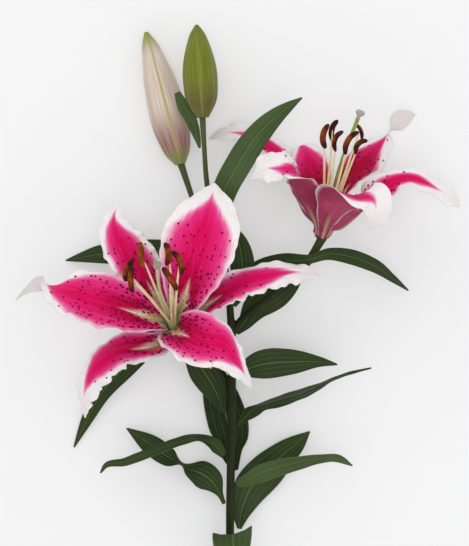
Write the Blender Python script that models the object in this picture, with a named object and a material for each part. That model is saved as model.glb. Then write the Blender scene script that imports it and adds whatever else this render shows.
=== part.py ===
"""A cut lily lying on a table: two open flowers, two buds, a leafy stem.

Every number is in millimetres and is turned into metres in one place. The plant is laid out with its stem
along Y, its cut end near Y = 0 and the table under it at Z = 0. At the end everything is moved together so
that the origin is at the middle of its bottom.
"""

import math

import bmesh
import bpy
from mathutils import Matrix, Vector

# ---------------------------------------------------------------- driving sizes, millimetres
MM = 0.001
STEM_RADIUS = 2.8
PEDICEL_RADIUS = 2.3
BUD_PEDICEL_RADIUS = 1.9
TEPAL_THICKNESS = 0.9
LEAF_THICKNESS = 0.8
EDGE_THICKNESS = 0.35
PETAL_RING = 3.9  # where the three inner petals of a flower start, around its axis
SEPAL_RING = 5.3  # where the three outer sepals start
FILAMENT_RING = 2.3
FILAMENT_RADIUS = 0.6
ANTHER_RADIUS = 1.7
GAP = 0.35  # clear space between one grown piece and the next

TEPAL_STATIONS, TEPAL_ACROSS = 13, 6
LEAF_STATIONS, LEAF_ACROSS = 11, 4

# ---------------------------------------------------------------- the two flowers
# centre of the receptacle, direction the flower faces, direction of azimuth 0
FRONT_CENTRE = (-37, 212, 46)
FRONT_AXIS = (-0.10, 0.45, 0.89)
SIDE_CENTRE = (60, 272, 49)
SIDE_AXIS = (0.24, 0.92, 0.31)

# Each tepal: (ring, azimuth in degrees, rows). A row is x, y, z, half width, roll in degrees, cup in degrees.
FRONT_TEPALS = {
    "front_petal_top": (
        PETAL_RING,
        70,
        [
            (-30, 230, 64, 12, 0, 45),
            (-25, 248, 74, 21, 0, 25),
            (-20, 266, 76, 25, 0, 15),
            (-15, 283, 72, 22, 0, 5),
            (-12, 296, 64, 13, 0, 0),
            (-10, 306, 55, 0.6, 0, 0),
        ],
    ),
    "front_petal_right": (
        PETAL_RING,
        310,
        [
            (-35, 209.8, 66, 12.5, 0, 60),
            (-28.9, 207.6, 79, 18.5, 0, 42),
            (-17, 203.4, 88, 20, 0, 12),
            (-5, 200.6, 90, 16.5, 0, -15),
            (4, 190.5, 86, 10, 0, -22),
            (10.3, 181, 80, 4.8, 0, -15),
            (13.8, 173.2, 72, 0.6, 0, 0),
        ],
    ),
    "front_petal_left": (
        PETAL_RING,
        190,
        [
            (-47, 217, 64, 10, 0, 50),
            (-61, 222, 75, 18, 0, 30),
            (-79, 228, 81, 22, 0, 15),
            (-95, 233, 79, 21, 0, 10),
            (-110, 237, 73, 14, 0, 10),
            (-118, 240, 66, 6.5, 60, 20),
            (-124, 241, 61, 5.5, 140, 20),
            (-132, 238, 55, 5, 170, 20),
            (-140, 230, 47, 0.6, 175, 0),
        ],
    ),
    "front_sepal_right": (
        SEPAL_RING,
        10,
        [
            (-27, 220, 56, 7, 0, 45),
            (-18, 225, 61, 9, 0, 30),
            (-6, 233, 65, 11, 0, 15),
            (8, 241, 66, 12, 0, 0),
            (21, 245, 66, 11, 0, -10),
            (35, 248, 65, 10, 0, -15),
            (48, 248, 62, 7, 0, -10),
            (58, 246, 57, 0.6, 0, 0),
        ],
    ),
    "front_sepal_left": (
        SEPAL_RING,
        250,
        [
            (-40, 207, 57, 6, 0, 45),
            (-47, 201, 64, 9, 0, 30),
            (-58, 199, 68, 11, 0, 15),
            (-71, 197, 69, 12, 0, 0),
            (-82, 189, 67, 12, 0, -10),
            (-90, 179, 62, 11, 0, -10),
            (-95, 166, 54, 8, 0, -5),
            (-95, 153, 45, 0.6, 0, 0),
        ],
    ),
    "front_sepal_top": (
        SEPAL_RING,
        130,
        [
            (-43, 224, 54, 7, 0, 45),
            (-51, 237, 58, 12, 0, 25),
            (-58.5, 250, 61, 15.3, 0, 10),
            (-67.3, 263, 61, 15.5, 0, 0),
            (-74, 275, 58, 11.8, 0, -5),
            (-75.5, 285, 53, 6.2, 0, 0),
            (-72.5, 293.5, 47, 0.6, 0, 0),
        ],
    ),
}
SIDE_TEPALS = {
    "side_petal_front": (
        PETAL_RING,
        210,
        [
            (55, 283.5, 56, 9, 15, 45),
            (51, 291, 60, 12.5, 20, 45),
            (47, 299, 65, 14.5, 20, 35),
            (44.5, 308, 69, 14.5, 0, 20),
            (40, 314.5, 71, 13, -45, 0),
            (31.5, 316, 69, 11, -85, 0),
            (22, 316, 64, 10, -85, 0),
            (13, 308.5, 58, 0.6, -85, 0),
        ],
    ),
    "side_petal_back": (
        PETAL_RING,
        90,
        [
            (60, 288, 40, 8, 0, 45),
            (57, 303, 29.5, 10.5, 0, 30),
            (54, 317, 20, 12, 0, 20),
            (50.5, 327, 12, 11, 0, 10),
            (47.5, 332, 6.6, 7.2, 0, 0),
            (44, 330.5, 2.8, 0.6, 0, 0),
        ],
    ),
    "side_petal_right": (
        PETAL_RING,
        330,
        [
            (72.5, 277.5, 55, 7, -10, 50),
            (80.5, 284, 57.5, 10.5, -5, 45),
            (88, 291.5, 60, 13, 20, 35),
            (94.5, 299, 60.5, 12, 55, 20),
            (102, 305.5, 59, 10, 80, 10),
            (110, 309.5, 58, 6.5, 80, 0),
            (120, 310, 56, 6.5, 80, -10),
            (131, 306, 52, 8.5, 80, -10),
            (142, 299.5, 47, 8, 80, -5),
            (147, 295.5, 44, 5.5, 80, 0),
            (150.5, 291, 42, 0.6, 80, 0),
        ],
    ),
    "side_sepal_front": (
        SEPAL_RING,
        270,
        [
            (62, 278, 66, 6, 0, 45),
            (65, 286, 74, 11, 0, 45),
            (69.5, 293, 83, 17, 0, 30),
            (77, 297, 92, 16.5, 20, 15),
            (85, 297, 100, 12, 60, 5),
            (92, 295, 104, 11, 90, 0),
            (94, 288, 103, 9.5, 100, 0),
            (92.5, 281, 97, 6.5, 100, 0),
            (90, 276, 89, 0.6, 100, 0),
        ],
    ),
    "side_sepal_left": (
        SEPAL_RING,
        150,
        [
            (49, 288, 40, 8, 0, 38),
            (44, 301, 32, 11, 0, 20),
            (41, 315, 26, 12, 0, 5),
            (33, 326.5, 24, 12, -10, 0),
            (22, 334.5, 24, 11, -20, 0),
            (11, 340, 23, 9, -30, 0),
            (1, 341.5, 20, 7.5, -30, 0),
            (-6.5, 340, 16, 6, -30, 0),
            (-14, 337, 12, 0.6, -30, 0),
        ],
    ),
    "side_sepal_right": (
        SEPAL_RING,
        30,
        [
            (70, 291.5, 40, 7.5, 0, 35),
            (78.5, 306.5, 36.5, 12, 0, 25),
            (87, 317.5, 33, 14.5, 20, 10),
            (95, 327, 30, 13, 20, 0),
            (101.5, 335, 28, 8, 10, 0),
            (105, 341, 26, 1.8, -35, 0),
            (109.5, 346.5, 25, 6, -110, 0),
            (115, 350.2, 23, 5.8, -120, 0),
            (119.5, 352, 21, 3.5, -120, 0),
            (122.5, 352.6, 20, 0.6, -120, 0),
        ],
    ),
}

# Anther: name, azimuth of its filament's foot, middle of the anther, direction it points along, length, and
# how far its ends bow away from its middle
FRONT_ANTHERS = [
    ("left_upper", 160, (-57, 259.2, 90), (-0.1, 1, -0.2), 17, (0.5, 0, 1)),
    ("left_outer", 200, (-66.5, 248.5, 95), (0.34, 1, 0.2), 16, (3.2, 1.2, 0)),
    ("left_inner", 240, (-63.3, 243.8, 101), (0, 1, 0.1), 18, (1.5, 0, -1)),
    ("right_upper", 20, (-39, 259.8, 94), (-0.08, 1, 0.3), 15, (-2.4, 0, -1)),
    ("right_outer", 330, (-31.5, 255, 100), (-0.38, 1, 0.2), 16.5, (-2.6, -1.4, 0)),
    ("right_inner", 285, (-37.7, 244.2, 106), (-0.64, 1, 0.2), 17.5, (-0.6, -0.4, -1)),
]
SIDE_ANTHERS = [
    ("far_left", 165, (60.2, 336.3, 63), (0.12, 1, -0.1), 16, (3, 0, 0)),
    ("left", 225, (66.2, 341, 56), (0.22, 1, 0.2), 14.5, (2.6, -1, 0)),
    ("middle", 255, (67.8, 334.2, 72), (0.38, 1, 0.2), 14, (3, -1.7, 0)),
    ("right", 300, (75.8, 332.8, 76), (0.57, 1, 0.1), 17, (3, -1.6, 0)),
    ("far_right", 30, (85, 340.5, 60), (-0.45, 1, 0), 11, (-1.7, -1.3, 0)),
    ("near_right", 345, (83, 331.3, 69), (0.9, 1, 0.1), 11.5, (2.2, -2.6, 0)),
]
FRONT_STIGMA = (-46, 253, 122)
SIDE_STIGMA = (84, 351, 73)

# ---------------------------------------------------------------- leaves
# A row is x, y, z, half width, roll in degrees, cup in degrees.
LEAVES = {
    "leaf_bract": [
        (-20, 330, 32, 0.8, 0, 0),
        (-22, 338, 31, 2.5, 0, 10),
        (-26, 349, 29, 4, 0, 10),
        (-31, 358, 27, 4, 0, 0),
        (-35, 367, 26, 2, 0, 0),
    ],
    "leaf_upper_left": [
        (-6, 246, 27, 2, 0, 20),
        (-14, 251, 22, 5, 0, 20),
        (-30, 259, 18, 8, 0, 10),
        (-50, 262, 15, 8, 0, 5),
        (-70, 261, 12, 7.5, 0, 0),
        (-88, 260, 8, 6, 0, 0),
        (-110, 256, 3, 0.5, 0, 0),
    ],
    "leaf_upper_right": [
        (-3, 252, 37, 1.5, 0, 20),
        (-7, 266, 40, 5, 0, 20),
        (-8, 286, 44, 7.5, 0, 10),
        (-3, 303, 48, 8.3, 0, 10),
        (5, 318, 50, 8.8, 0, 10),
        (13, 331, 51, 8.6, 0, 10),
        (21, 341, 52, 7.5, 0, 5),
        (29, 349, 53, 5.8, 0, 0),
        (38, 356, 53, 3.4, 0, 0),
        (47, 362, 52, 0.5, 0, 0),
    ],
    "leaf_top_right": [
        (2, 226, 33, 2, 0, 20),
        (7, 238, 40, 6, 0, 20),
        (8, 254, 43, 8, 0, 10),
        (6, 267, 43, 6, 0, 0),
        (3, 279, 43, 0.5, 0, 0),
    ],
    "leaf_side_flower": [
        (4, 233, 31, 1.2, 0, 20),
        (11, 243, 33, 5, 0, 20),
        (21, 250, 37, 7, 0, 10),
        (36, 255, 47, 6, 0, 0),
        (48, 256, 53, 4, 0, 0),
        (54, 257, 54, 3, 0, 0),
        (65, 260, 51, 4, 0, 0),
        (80, 258, 42, 5, 0, 0),
        (96, 252, 29, 4.4, 0, 0),
        (108, 244, 16, 2.6, 0, 0),
        (119, 236, 3, 0.5, 0, 0),
    ],
    "leaf_pedicel": [
        (4, 208, 24, 2, 0, 20),
        (10, 215, 24, 5, 0, 20),
        (18, 226, 25, 9, 0, 10),
        (30, 234, 26, 10, 0, 0),
        (40, 242, 28, 7, 0, 0),
        (49, 251, 30, 0.5, 0, 0),
    ],
    "leaf_right_upper": [
        (5, 179, 23, 1.2, 0, 20),
        (14, 185, 26, 7.5, 0, 15),
        (26, 188, 28, 10, 0, 10),
        (43, 189, 28, 8, 0, 5),
        (58, 189, 26, 3.8, 0, 0),
        (71, 187, 22, 0.5, 0, 0),
    ],
    "leaf_right_arching": [
        (5, 146, 19, 1.2, 0, 20),
        (10, 152, 22, 3, 0, 20),
        (18, 159, 28, 7.5, 50, 20),
        (32, 164, 33, 9.5, 50, 15),
        (48, 169, 36, 8, 50, 10),
        (66, 177, 37, 3.2, 50, 5),
        (80, 182, 35, 1.5, 40, 0),
        (93, 185, 32, 0.5, 0, 0),
    ],
    "leaf_behind_flower": [
        (-4.5, 155, 16, 1.2, 0, 20),
        (-8, 165, 14, 6, 0, 15),
        (-13, 175, 13, 9.5, 0, 10),
        (-19, 184, 13, 9.5, 0, 5),
        (-25, 192, 14, 6, 0, 0),
        (-31, 200, 17, 0.5, 0, 0),
    ],
    "leaf_behind_stem": [
        (3, 116, 9, 2.5, 0, 20),
        (0.5, 129, 6, 8, 0, 15),
        (0.5, 139, 4.5, 12, 0, 12),
        (-1.5, 148, 4, 13.5, 0, 10),
        (-5.5, 162, 3, 12.5, 0, 5),
        (-9, 173, 3, 10, 0, 0),
        (-13, 186, 3, 5.5, 0, 0),
        (-16, 197, 3, 0.5, 0, 0),
    ],
    "leaf_left_arching": [
        (-4, 126, 16, 2, 0, 20),
        (-9, 132, 18, 4.5, 20, 20),
        (-15, 136, 21, 5.2, 60, 15),
        (-23, 138.5, 24, 5, 80, 10),
        (-34, 136, 27, 4, 70, 10),
        (-53, 129, 29, 3.8, 60, 5),
        (-69, 123, 27, 3.2, 60, 0),
        (-81, 121, 24, 2.2, 50, 0),
        (-86, 115, 19, 0.5, 0, 0),
    ],
    "leaf_left_twisted": [
        (-4, 94, 11, 1.2, 0, 20),
        (-7, 101, 13, 2.5, 0, 20),
        (-12, 109, 14, 8, 0, 15),
        (-19, 114, 13, 9, 10, 5),
        (-27, 117, 12, 6, 40, 0),
        (-33, 121, 12, 3.5, 75, 0),
        (-41, 125, 12, 6.5, 20, 0),
        (-54, 134, 10, 6.5, 0, 0),
        (-69, 144, 7, 0.5, 0, 0),
    ],
    "leaf_right_lance": [
        (4, 107, 15, 1.5, 0, 20),
        (11, 110, 20, 5, 30, 15),
        (25, 117, 27, 8, 40, 10),
        (42, 122, 31, 7, 40, 10),
        (59, 125, 31, 4, 40, 5),
        (71, 125, 27, 3, 30, 0),
        (81, 120, 21, 0.5, 0, 0),
    ],
    "leaf_right_broad": [
        (6, 77, 7, 1.5, 0, 20),
        (8, 90, 4.5, 7.5, 0, 10),
        (14, 104, 3.5, 11.7, 0, 10),
        (24.5, 115.5, 3.5, 12, 0, 5),
        (35, 126, 5, 9.2, 0, 0),
        (44.5, 134, 7.5, 6, 0, 0),
        (53, 142, 10, 0.5, 0, 0),
    ],
    "leaf_foot": [
        (0, 33, 10, 2, 0, 20),
        (1, 48, 20, 6, 0, 30),
        (1, 66, 34, 12, 0, 35),
        (2, 76.5, 46, 13.5, 0, 30),
        (2, 73, 58, 13, 0, 20),
        (3, 60, 66, 8, 0, 10),
        (3, 44, 68, 0.5, 0, 0),
    ],
    "leaf_lower_left": [
        (-4, 232, 29, 1.5, 0, 20),
        (-20, 223, 20, 5, 0, 15),
        (-38, 213, 14, 7, 0, 10),
        (-54.5, 200, 10, 7.5, 0, 10),
        (-69.5, 185.5, 7, 7.5, 0, 5),
        (-85, 168.5, 4.5, 6, 0, 0),
        (-95.5, 150, 2.8, 4, 0, 0),
        (-104.5, 131, 1, 0.5, 0, 0),
    ],
}
LEAF_FACING = {"leaf_foot": (0, 1, 0.35)}

# ------------------------------------------------------ stem: (x, y, z) and radius share along each branch
STEM = [
    (0, -7, 2.8, 1.0),
    (0, 40, 5.5, 1.0),
    (0, 90, 11, 1.0),
    (1, 150, 18, 1.0),
    (1, 203, 26, 0.95),
    (-2, 243, 32, 0.8),
    (-9, 277, 34, 0.7),
    (-15, 305, 34, 0.65),
    (-17, 330, 34, 0.6),
    (-18, 347, 34, 0.75),
]
FRONT_PEDICEL = [
    (0, 192, 24, 0.9),
    (-12, 188, 22, 1.0),
    (-26, 190, 24, 1.0),
    (-34, 199, 32, 1.15),
]
SIDE_PEDICEL = [
    (1, 205, 26, 0.9),
    (5, 214, 28, 1.0),
    (13, 222, 31, 1.0),
    (22, 229, 34, 1.0),
    (35, 240, 39, 1.0),
    (48, 251, 43, 1.1),
]
BUD_PEDICEL = [
    (-2, 238, 31, 0.9),
    (-10, 255, 28, 1.0),
    (-19, 279, 22, 1.0),
    (-26, 300, 17, 1.0),
    (-31, 315, 14, 1.2),
]
RECEPTACLE_RADIUS = 5.8

# ---------------------------------------------------------------- buds: foot, tip and radii along the length
LONG_BUD = ((-33, 320, 12.7), (-56, 408, 11))
LONG_BUD_RADII = [0.28, 0.67, 0.84, 0.96, 1.0, 0.97, 0.91, 0.84, 0.71, 0.58, 0.40, 0.10]
LONG_BUD_RADIUS = 12.6
GREEN_BUD = ((-18, 350, 34), (-22, 411, 34))
GREEN_BUD_RADII = [0.35, 0.65, 0.87, 0.96, 0.99, 1.0, 0.96, 0.88, 0.76, 0.61, 0.42, 0.09]
GREEN_BUD_RADIUS = 11.4

COLOURS = {
    "tepal": (0.86, 0.35, 0.55, 1),
    "filament": (0.70, 0.72, 0.45, 1),
    "anther": (0.28, 0.07, 0.02, 1),
    "pistil": (0.35, 0.40, 0.20, 1),
    "bud_pink": (0.75, 0.62, 0.50, 1),
    "bud_green": (0.30, 0.36, 0.12, 1),
    "leaf": (0.06, 0.12, 0.04, 1),
    "stem": (0.08, 0.10, 0.04, 1),
}


def material(slot):
    """The one material of a slot, made the first time it is asked for."""
    mat = bpy.data.materials.get(slot)
    if mat is None:
        mat = bpy.data.materials.new(slot)
        mat.use_nodes = True
        shader = mat.node_tree.nodes["Principled BSDF"]
        shader.inputs["Base Color"].default_value = COLOURS[slot]
        shader.inputs["Roughness"].default_value = 0.5
    return mat


def place(name, bm, slot):
    """Turns a mesh in millimetres into a named object in metres."""
    bmesh.ops.recalc_face_normals(bm, faces=bm.faces)
    bmesh.ops.scale(bm, vec=(MM, MM, MM), verts=bm.verts)
    mesh = bpy.data.meshes.new(name)
    bm.to_mesh(mesh)
    bm.free()
    mesh.shade_smooth()
    ob = bpy.data.objects.new(name, mesh)
    mat = material(slot).copy()
    mat.name = name + "_" + slot
    ob.data.materials.append(mat)
    bpy.context.scene.collection.objects.link(ob)
    return ob


def spline(rows, t):
    """A smooth curve through the rows, at t from 0 to 1 of the number of rows."""
    last = len(rows) - 1
    at = min(max(t, 0.0), 1.0) * last
    i = min(int(at), last - 1)
    u = at - i
    out = []
    for k in range(len(rows[0])):
        p1, p2 = rows[i][k], rows[i + 1][k]
        p0 = rows[i - 1][k] if i else 2 * p1 - p2
        p3 = rows[i + 2][k] if i + 2 <= last else 2 * p2 - p1
        a = 2 * p1
        b = p2 - p0
        c = 2 * p0 - 5 * p1 + 4 * p2 - p3
        d = 3 * p1 - p0 - 3 * p2 + p3
        out.append(0.5 * (a + b * u + c * u * u + d * u * u * u))
    return out


def stations(rows, count):
    """Rows at even steps of length along the spline, each with its tangent."""
    fine = [spline(rows, i / 240) for i in range(241)]
    places = [Vector(row[:3]) for row in fine]
    run = [0.0]
    for a, b in zip(places, places[1:]):
        run.append(run[-1] + (b - a).length)
    out = []
    j = 0
    for i in range(count):
        goal = run[-1] * i / (count - 1)
        while j < 239 and run[j + 1] < goal:
            j += 1
        lo, hi = max(j - 3, 0), min(j + 4, 240)
        share = (goal - run[j]) / max(run[j + 1] - run[j], 1e-9)
        row = [p + (q - p) * share for p, q in zip(fine[j], fine[j + 1])]
        out.append((row, (places[hi] - places[lo]).normalized()))
    return out


def ring_loft(rings):
    """Rolls a grid into a tube through the rings, welds its seam and fills its two ends."""
    sides, last = len(rings[0]), len(rings) - 1
    bm = bmesh.new()
    bmesh.ops.create_grid(bm, x_segments=sides, y_segments=last, size=1)
    for vert in bm.verts:
        i = round((vert.co.x + 1) / 2 * sides)
        j = round((vert.co.y + 1) / 2 * last)
        vert.co = rings[j][i % sides]
    bmesh.ops.remove_doubles(bm, verts=bm.verts, dist=0.001)
    bmesh.ops.holes_fill(bm, edges=[edge for edge in bm.edges if edge.is_boundary])
    return bm


def blade(name, rows, facing, thickness, count, across, slot):
    """A leaf or tepal: a thin curved sheet that follows its midrib and is thickest along it."""
    rings = []
    up = Vector(facing)
    for row, along in stations(rows, count):
        up = (up - along * up.dot(along)).normalized()
        side = along.cross(up)
        half, roll, cup = max(row[3], 0.5), math.radians(row[4]), math.radians(row[5])
        face = up * math.cos(roll) + side * math.sin(roll)
        edge = side * math.cos(roll) - up * math.sin(roll)
        if abs(cup) < 0.02:
            cup = 0.02
        top, under = [], []
        for i in range(across + 1):
            u = 2 * i / across - 1
            turn = cup * u
            base = Vector(row[:3]) + (edge * math.sin(turn) + face * (1 - math.cos(turn))) * (half / cup)
            out = face * math.cos(turn) - edge * math.sin(turn)
            depth = 0.5 * (EDGE_THICKNESS + (thickness - EDGE_THICKNESS) * (1 - u * u))
            top.append(base + out * depth)
            under.append(base - out * depth)
        rings.append(top + under[::-1])
    return place(name, ring_loft(rings), slot)


def tube(rows, radius, sides, count):
    """A round rod along the rows, whose fourth value scales its radius."""
    rings = []
    up = Vector((0, 0, 1))
    for row, along in stations(rows, count):
        up = (up - along * up.dot(along)).normalized()
        side = along.cross(up)
        size = radius * row[3]
        ring = []
        for i in range(sides):
            turn = 2 * math.pi * i / sides
            ring.append(Vector(row[:3]) + (up * math.cos(turn) + side * math.sin(turn)) * size)
        rings.append(ring)
    return ring_loft(rings)


def flower_frame(centre, axis):
    """Centre, axis and the two directions across it, the first lying as level as it can."""
    axis = Vector(axis).normalized()
    east = Vector((1, 0, 0))
    east = (east - axis * east.dot(axis)).normalized()
    north = axis.cross(east)
    return Vector(centre), axis, east, north


def on_ring(frame, azimuth, radius, height):
    centre, axis, east, north = frame
    turn = math.radians(azimuth)
    return centre + axis * height + (east * math.cos(turn) + north * math.sin(turn)) * radius


def tepals(frame, table):
    for name, (ring, azimuth, rows) in table.items():
        foot = on_ring(frame, azimuth, ring, 1.2)
        claw = on_ring(frame, azimuth, ring + 1.3, 6.0)
        inward = on_ring(frame, azimuth, 0, 6.0) - claw
        start = [(*foot, 2.3, 0, 34), (*claw, 3.6, 0, 40)]
        blade(name, start + rows, inward, TEPAL_THICKNESS, TEPAL_STATIONS, TEPAL_ACROSS, "tepal")


def stamens(frame, prefix, table):
    """Six thin filaments, each carrying an anther hung by its middle."""
    for name, azimuth, middle, along, length, bow in table:
        middle = Vector(middle)
        along = Vector(along).normalized()
        foot = on_ring(frame, azimuth, FILAMENT_RING, 2 * GAP)
        low = on_ring(frame, azimuth, FILAMENT_RING + 0.5, 14.0)
        back = (low - middle).normalized()
        back = (back - along * back.dot(along)).normalized()
        end = middle + back * (ANTHER_RADIUS + GAP + 0.5)
        reach = end.lerp(low, 0.45) + frame[1] * 3.0
        rows = [(*foot, 1.0), (*low, 0.9), (*reach, 0.8), (*end, 0.45)]
        place(prefix + "_filament_" + name, tube(rows, FILAMENT_RADIUS, 6, 9), "filament")
        rows = []
        for share, size in ((-0.5, 0.35), (-0.42, 0.75), (-0.2, 1.0), (0.2, 1.0), (0.42, 0.75), (0.5, 0.35)):
            rows.append((*(middle + along * (length * share) + Vector(bow) * (4 * share * share)), size))
        place(prefix + "_anther_" + name, tube(rows, ANTHER_RADIUS, 8, 7), "anther")


def pistil(frame, name, stigma, bend):
    """Ovary, style and three-lobed stigma, grown as one."""
    foot = on_ring(frame, 0, 0.0, GAP)
    ovary = on_ring(frame, 0, 0.0, 15.0)
    stigma = Vector(stigma)
    middle = ovary.lerp(stigma, 0.5) + Vector(bend)
    top = stigma - (stigma - middle).normalized() * 3.0
    rows = [(*foot, 1.0), (*ovary, 1.1), (*middle, 0.7), (*top, 0.8), (*stigma, 1.5)]
    ob = place(name, tube(rows, 1.3, 9, 18), "pistil")
    cap = bmesh.new()
    bmesh.ops.create_uvsphere(cap, u_segments=9, v_segments=6, radius=3.2)
    turn = Vector((0, 0, 1)).rotation_difference((stigma - middle).normalized()).to_matrix().to_4x4()
    bmesh.ops.scale(cap, vec=(1, 1, 0.6), verts=cap.verts)
    bmesh.ops.transform(cap, matrix=Matrix.Translation(stigma) @ turn, verts=cap.verts)
    join(ob, place("stigma", cap, "pistil"))


def bud(name, ends, radii, radius, slot):
    """A closed bud: three faces with a rib between each."""
    foot, tip = Vector(ends[0]), Vector(ends[1])
    along = (tip - foot).normalized()
    up = Vector((0, 0, 1))
    up = (up - along * up.dot(along)).normalized()
    side = along.cross(up)
    rings = []
    for i, share in enumerate(radii):
        centre = foot.lerp(tip, i / (len(radii) - 1))
        ring = []
        for k in range(15):
            turn = 2 * math.pi * k / 15
            size = radius * share * (1 + 0.05 * math.cos(3 * turn))
            ring.append(centre + (up * math.cos(turn) + side * math.sin(turn)) * size)
        rings.append(ring)
    return place(name, ring_loft(rings), slot)


def join(ob, other):
    """Adds another closed body to ob and removes it."""
    step = ob.modifiers.new("join", "BOOLEAN")
    step.operation = "UNION"
    step.solver = "EXACT"
    step.object = other
    bpy.context.view_layer.update()
    graph = bpy.context.evaluated_depsgraph_get()
    mesh = bpy.data.meshes.new_from_object(ob.evaluated_get(graph), depsgraph=graph)
    ob.modifiers.clear()
    mats = list(ob.data.materials)
    ob.data = mesh
    mesh.materials.clear()
    for mat in mats:
        mesh.materials.append(mat)
    bpy.data.objects.remove(other)


def stem(frames):
    """The stem with its flower stalks, bud stalk and the two discs that the flowers stand on."""
    ob = place("stem", tube(STEM, STEM_RADIUS, 12, 26), "stem")
    branches = [
        (FRONT_PEDICEL, PEDICEL_RADIUS, frames[0]),
        (SIDE_PEDICEL, PEDICEL_RADIUS, frames[1]),
        (BUD_PEDICEL, BUD_PEDICEL_RADIUS, None),
    ]
    for rows, radius, frame in branches:
        rows = list(rows)
        if frame is not None:
            rows.append((*on_ring(frame, 0, 0, -4.0), 1.2))
            rows.append((*on_ring(frame, 0, 0, 0.0), RECEPTACLE_RADIUS / radius))
        join(ob, place("branch", tube(rows, radius, 11, 14), "stem"))
    return ob


def settle():
    """Moves everything so that the origin is at the middle of the bottom of the whole plant."""
    places = []
    for ob in bpy.data.objects:
        places += [v.co.copy() for v in ob.data.vertices]
    low = [min(p[i] for p in places) for i in range(3)]
    high = [max(p[i] for p in places) for i in range(3)]
    shift = Vector((-(low[0] + high[0]) / 2, -(low[1] + high[1]) / 2, -low[2]))
    for ob in bpy.data.objects:
        ob.data.transform(Matrix.Translation(shift))


def main():
    for ob in list(bpy.data.objects):
        bpy.data.objects.remove(ob)
    front = flower_frame(FRONT_CENTRE, FRONT_AXIS)
    side = flower_frame(SIDE_CENTRE, SIDE_AXIS)
    stem((front, side))
    tepals(front, FRONT_TEPALS)
    tepals(side, SIDE_TEPALS)
    stamens(front, "front", FRONT_ANTHERS)
    stamens(side, "side", SIDE_ANTHERS)
    pistil(front, "front_pistil", FRONT_STIGMA, (-2.5, 0.0, 0.0))
    pistil(side, "side_pistil", SIDE_STIGMA, (-2.0, 0.0, 1.0))
    for name, rows in LEAVES.items():
        facing = LEAF_FACING.get(name, (0, 0, 1))
        blade(name, rows, facing, LEAF_THICKNESS, LEAF_STATIONS, LEAF_ACROSS, "leaf")
    bud("bud_long", LONG_BUD, LONG_BUD_RADII, LONG_BUD_RADIUS, "bud_pink")
    bud("bud_green", GREEN_BUD, GREEN_BUD_RADII, GREEN_BUD_RADIUS, "bud_green")
    settle()


main()
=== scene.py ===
"""A cut lily lying on a pale table: two open flowers, two buds, a leafy stem."""

import math
import random

import bmesh
import bpy
import numpy as np
from mathutils import Matrix, Vector


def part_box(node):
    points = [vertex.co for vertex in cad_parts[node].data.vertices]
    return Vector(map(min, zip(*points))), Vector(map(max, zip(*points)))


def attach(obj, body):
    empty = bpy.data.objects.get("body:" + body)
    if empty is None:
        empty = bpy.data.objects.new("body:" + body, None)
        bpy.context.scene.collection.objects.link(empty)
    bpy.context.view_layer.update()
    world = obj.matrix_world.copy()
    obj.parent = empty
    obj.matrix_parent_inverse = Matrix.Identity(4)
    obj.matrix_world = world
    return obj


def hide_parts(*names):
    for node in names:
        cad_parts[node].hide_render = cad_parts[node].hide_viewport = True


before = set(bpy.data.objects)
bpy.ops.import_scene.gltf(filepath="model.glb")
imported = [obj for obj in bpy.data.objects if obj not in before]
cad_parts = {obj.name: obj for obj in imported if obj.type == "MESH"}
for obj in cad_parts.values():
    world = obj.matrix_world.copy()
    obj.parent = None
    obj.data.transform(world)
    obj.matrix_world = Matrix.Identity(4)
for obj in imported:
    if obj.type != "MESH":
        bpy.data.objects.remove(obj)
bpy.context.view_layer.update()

# ---- stem
# One green, fibrous stalk, 5 to 6 mm thick, cut square at the foot. Near the top it splits into the stalks
# of two flowers and two buds, which grew out of it, so all are one skin with soft forks. Sizes are in
# millimetres: the stem runs along Y over a table at Z = 0. A row is x, y, z and a share of the radius.
STEM = [
    (0, -7, 2.8, 1.0), (0, 40, 5.5, 1.0), (0, 90, 11, 1.0), (1, 150, 18, 1.0), (1, 203, 26, 0.95),
    (-2, 243, 32, 0.8), (-9, 277, 34, 0.7), (-15, 305, 34, 0.65), (-17, 330, 34, 0.6), (-18, 347, 34, 0.75),
]
FRONT_PEDICEL = [
    (0, 192, 24, 0.9), (-12, 188, 22, 1.0), (-26, 190, 24, 1.0), (-34, 199, 32, 1.15),
]
SIDE_PEDICEL = [
    (1, 205, 26, 0.9), (5, 214, 28, 1.0), (13, 222, 31, 1.0), (22, 229, 34, 1.0), (35, 240, 39, 1.0),
    (48, 251, 43, 1.1),
]
BUD_PEDICEL = [
    (-2, 238, 31, 0.9), (-10, 255, 28, 1.0), (-19, 279, 22, 1.0), (-26, 300, 17, 1.0), (-31, 315, 14, 1.2),
]
STEM_RADIUS, PEDICEL_RADIUS, BUD_PEDICEL_RADIUS = 2.8, 2.3, 1.9
FRONT_CENTRE, FRONT_AXIS = (-37, 212, 46), (-0.1, 0.45, 0.89)
SIDE_CENTRE, SIDE_AXIS = (60, 272, 49), (0.24, 0.92, 0.31)
STEM_CORNER = (-42.8, -7.15, 0.0)
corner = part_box("stem")[0]
to_frame = Matrix.Translation([corner[i] - STEM_CORNER[i] / 1000 for i in range(3)]) @ Matrix.Scale(0.001, 4)


def smooth_rows(rows, t):
    """A smooth curve through the rows, read at every t from 0 to 1."""
    rows = np.array(rows, float)
    rows = np.vstack([2 * rows[0] - rows[1], rows, 2 * rows[-1] - rows[-2]])
    at = np.clip(t, 0, 1) * (len(rows) - 3)
    i = np.minimum(at.astype(int), len(rows) - 4)
    u = (at - i)[:, None]
    p0, p1, p2, p3 = (rows[i + k] for k in range(4))
    a, b, c, d = 2 * p1, p2 - p0, 2 * p0 - 5 * p1 + 4 * p2 - p3, 3 * p1 - p0 - 3 * p2 + p3
    return 0.5 * (a + b * u + c * u**2 + d * u**3)


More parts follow.
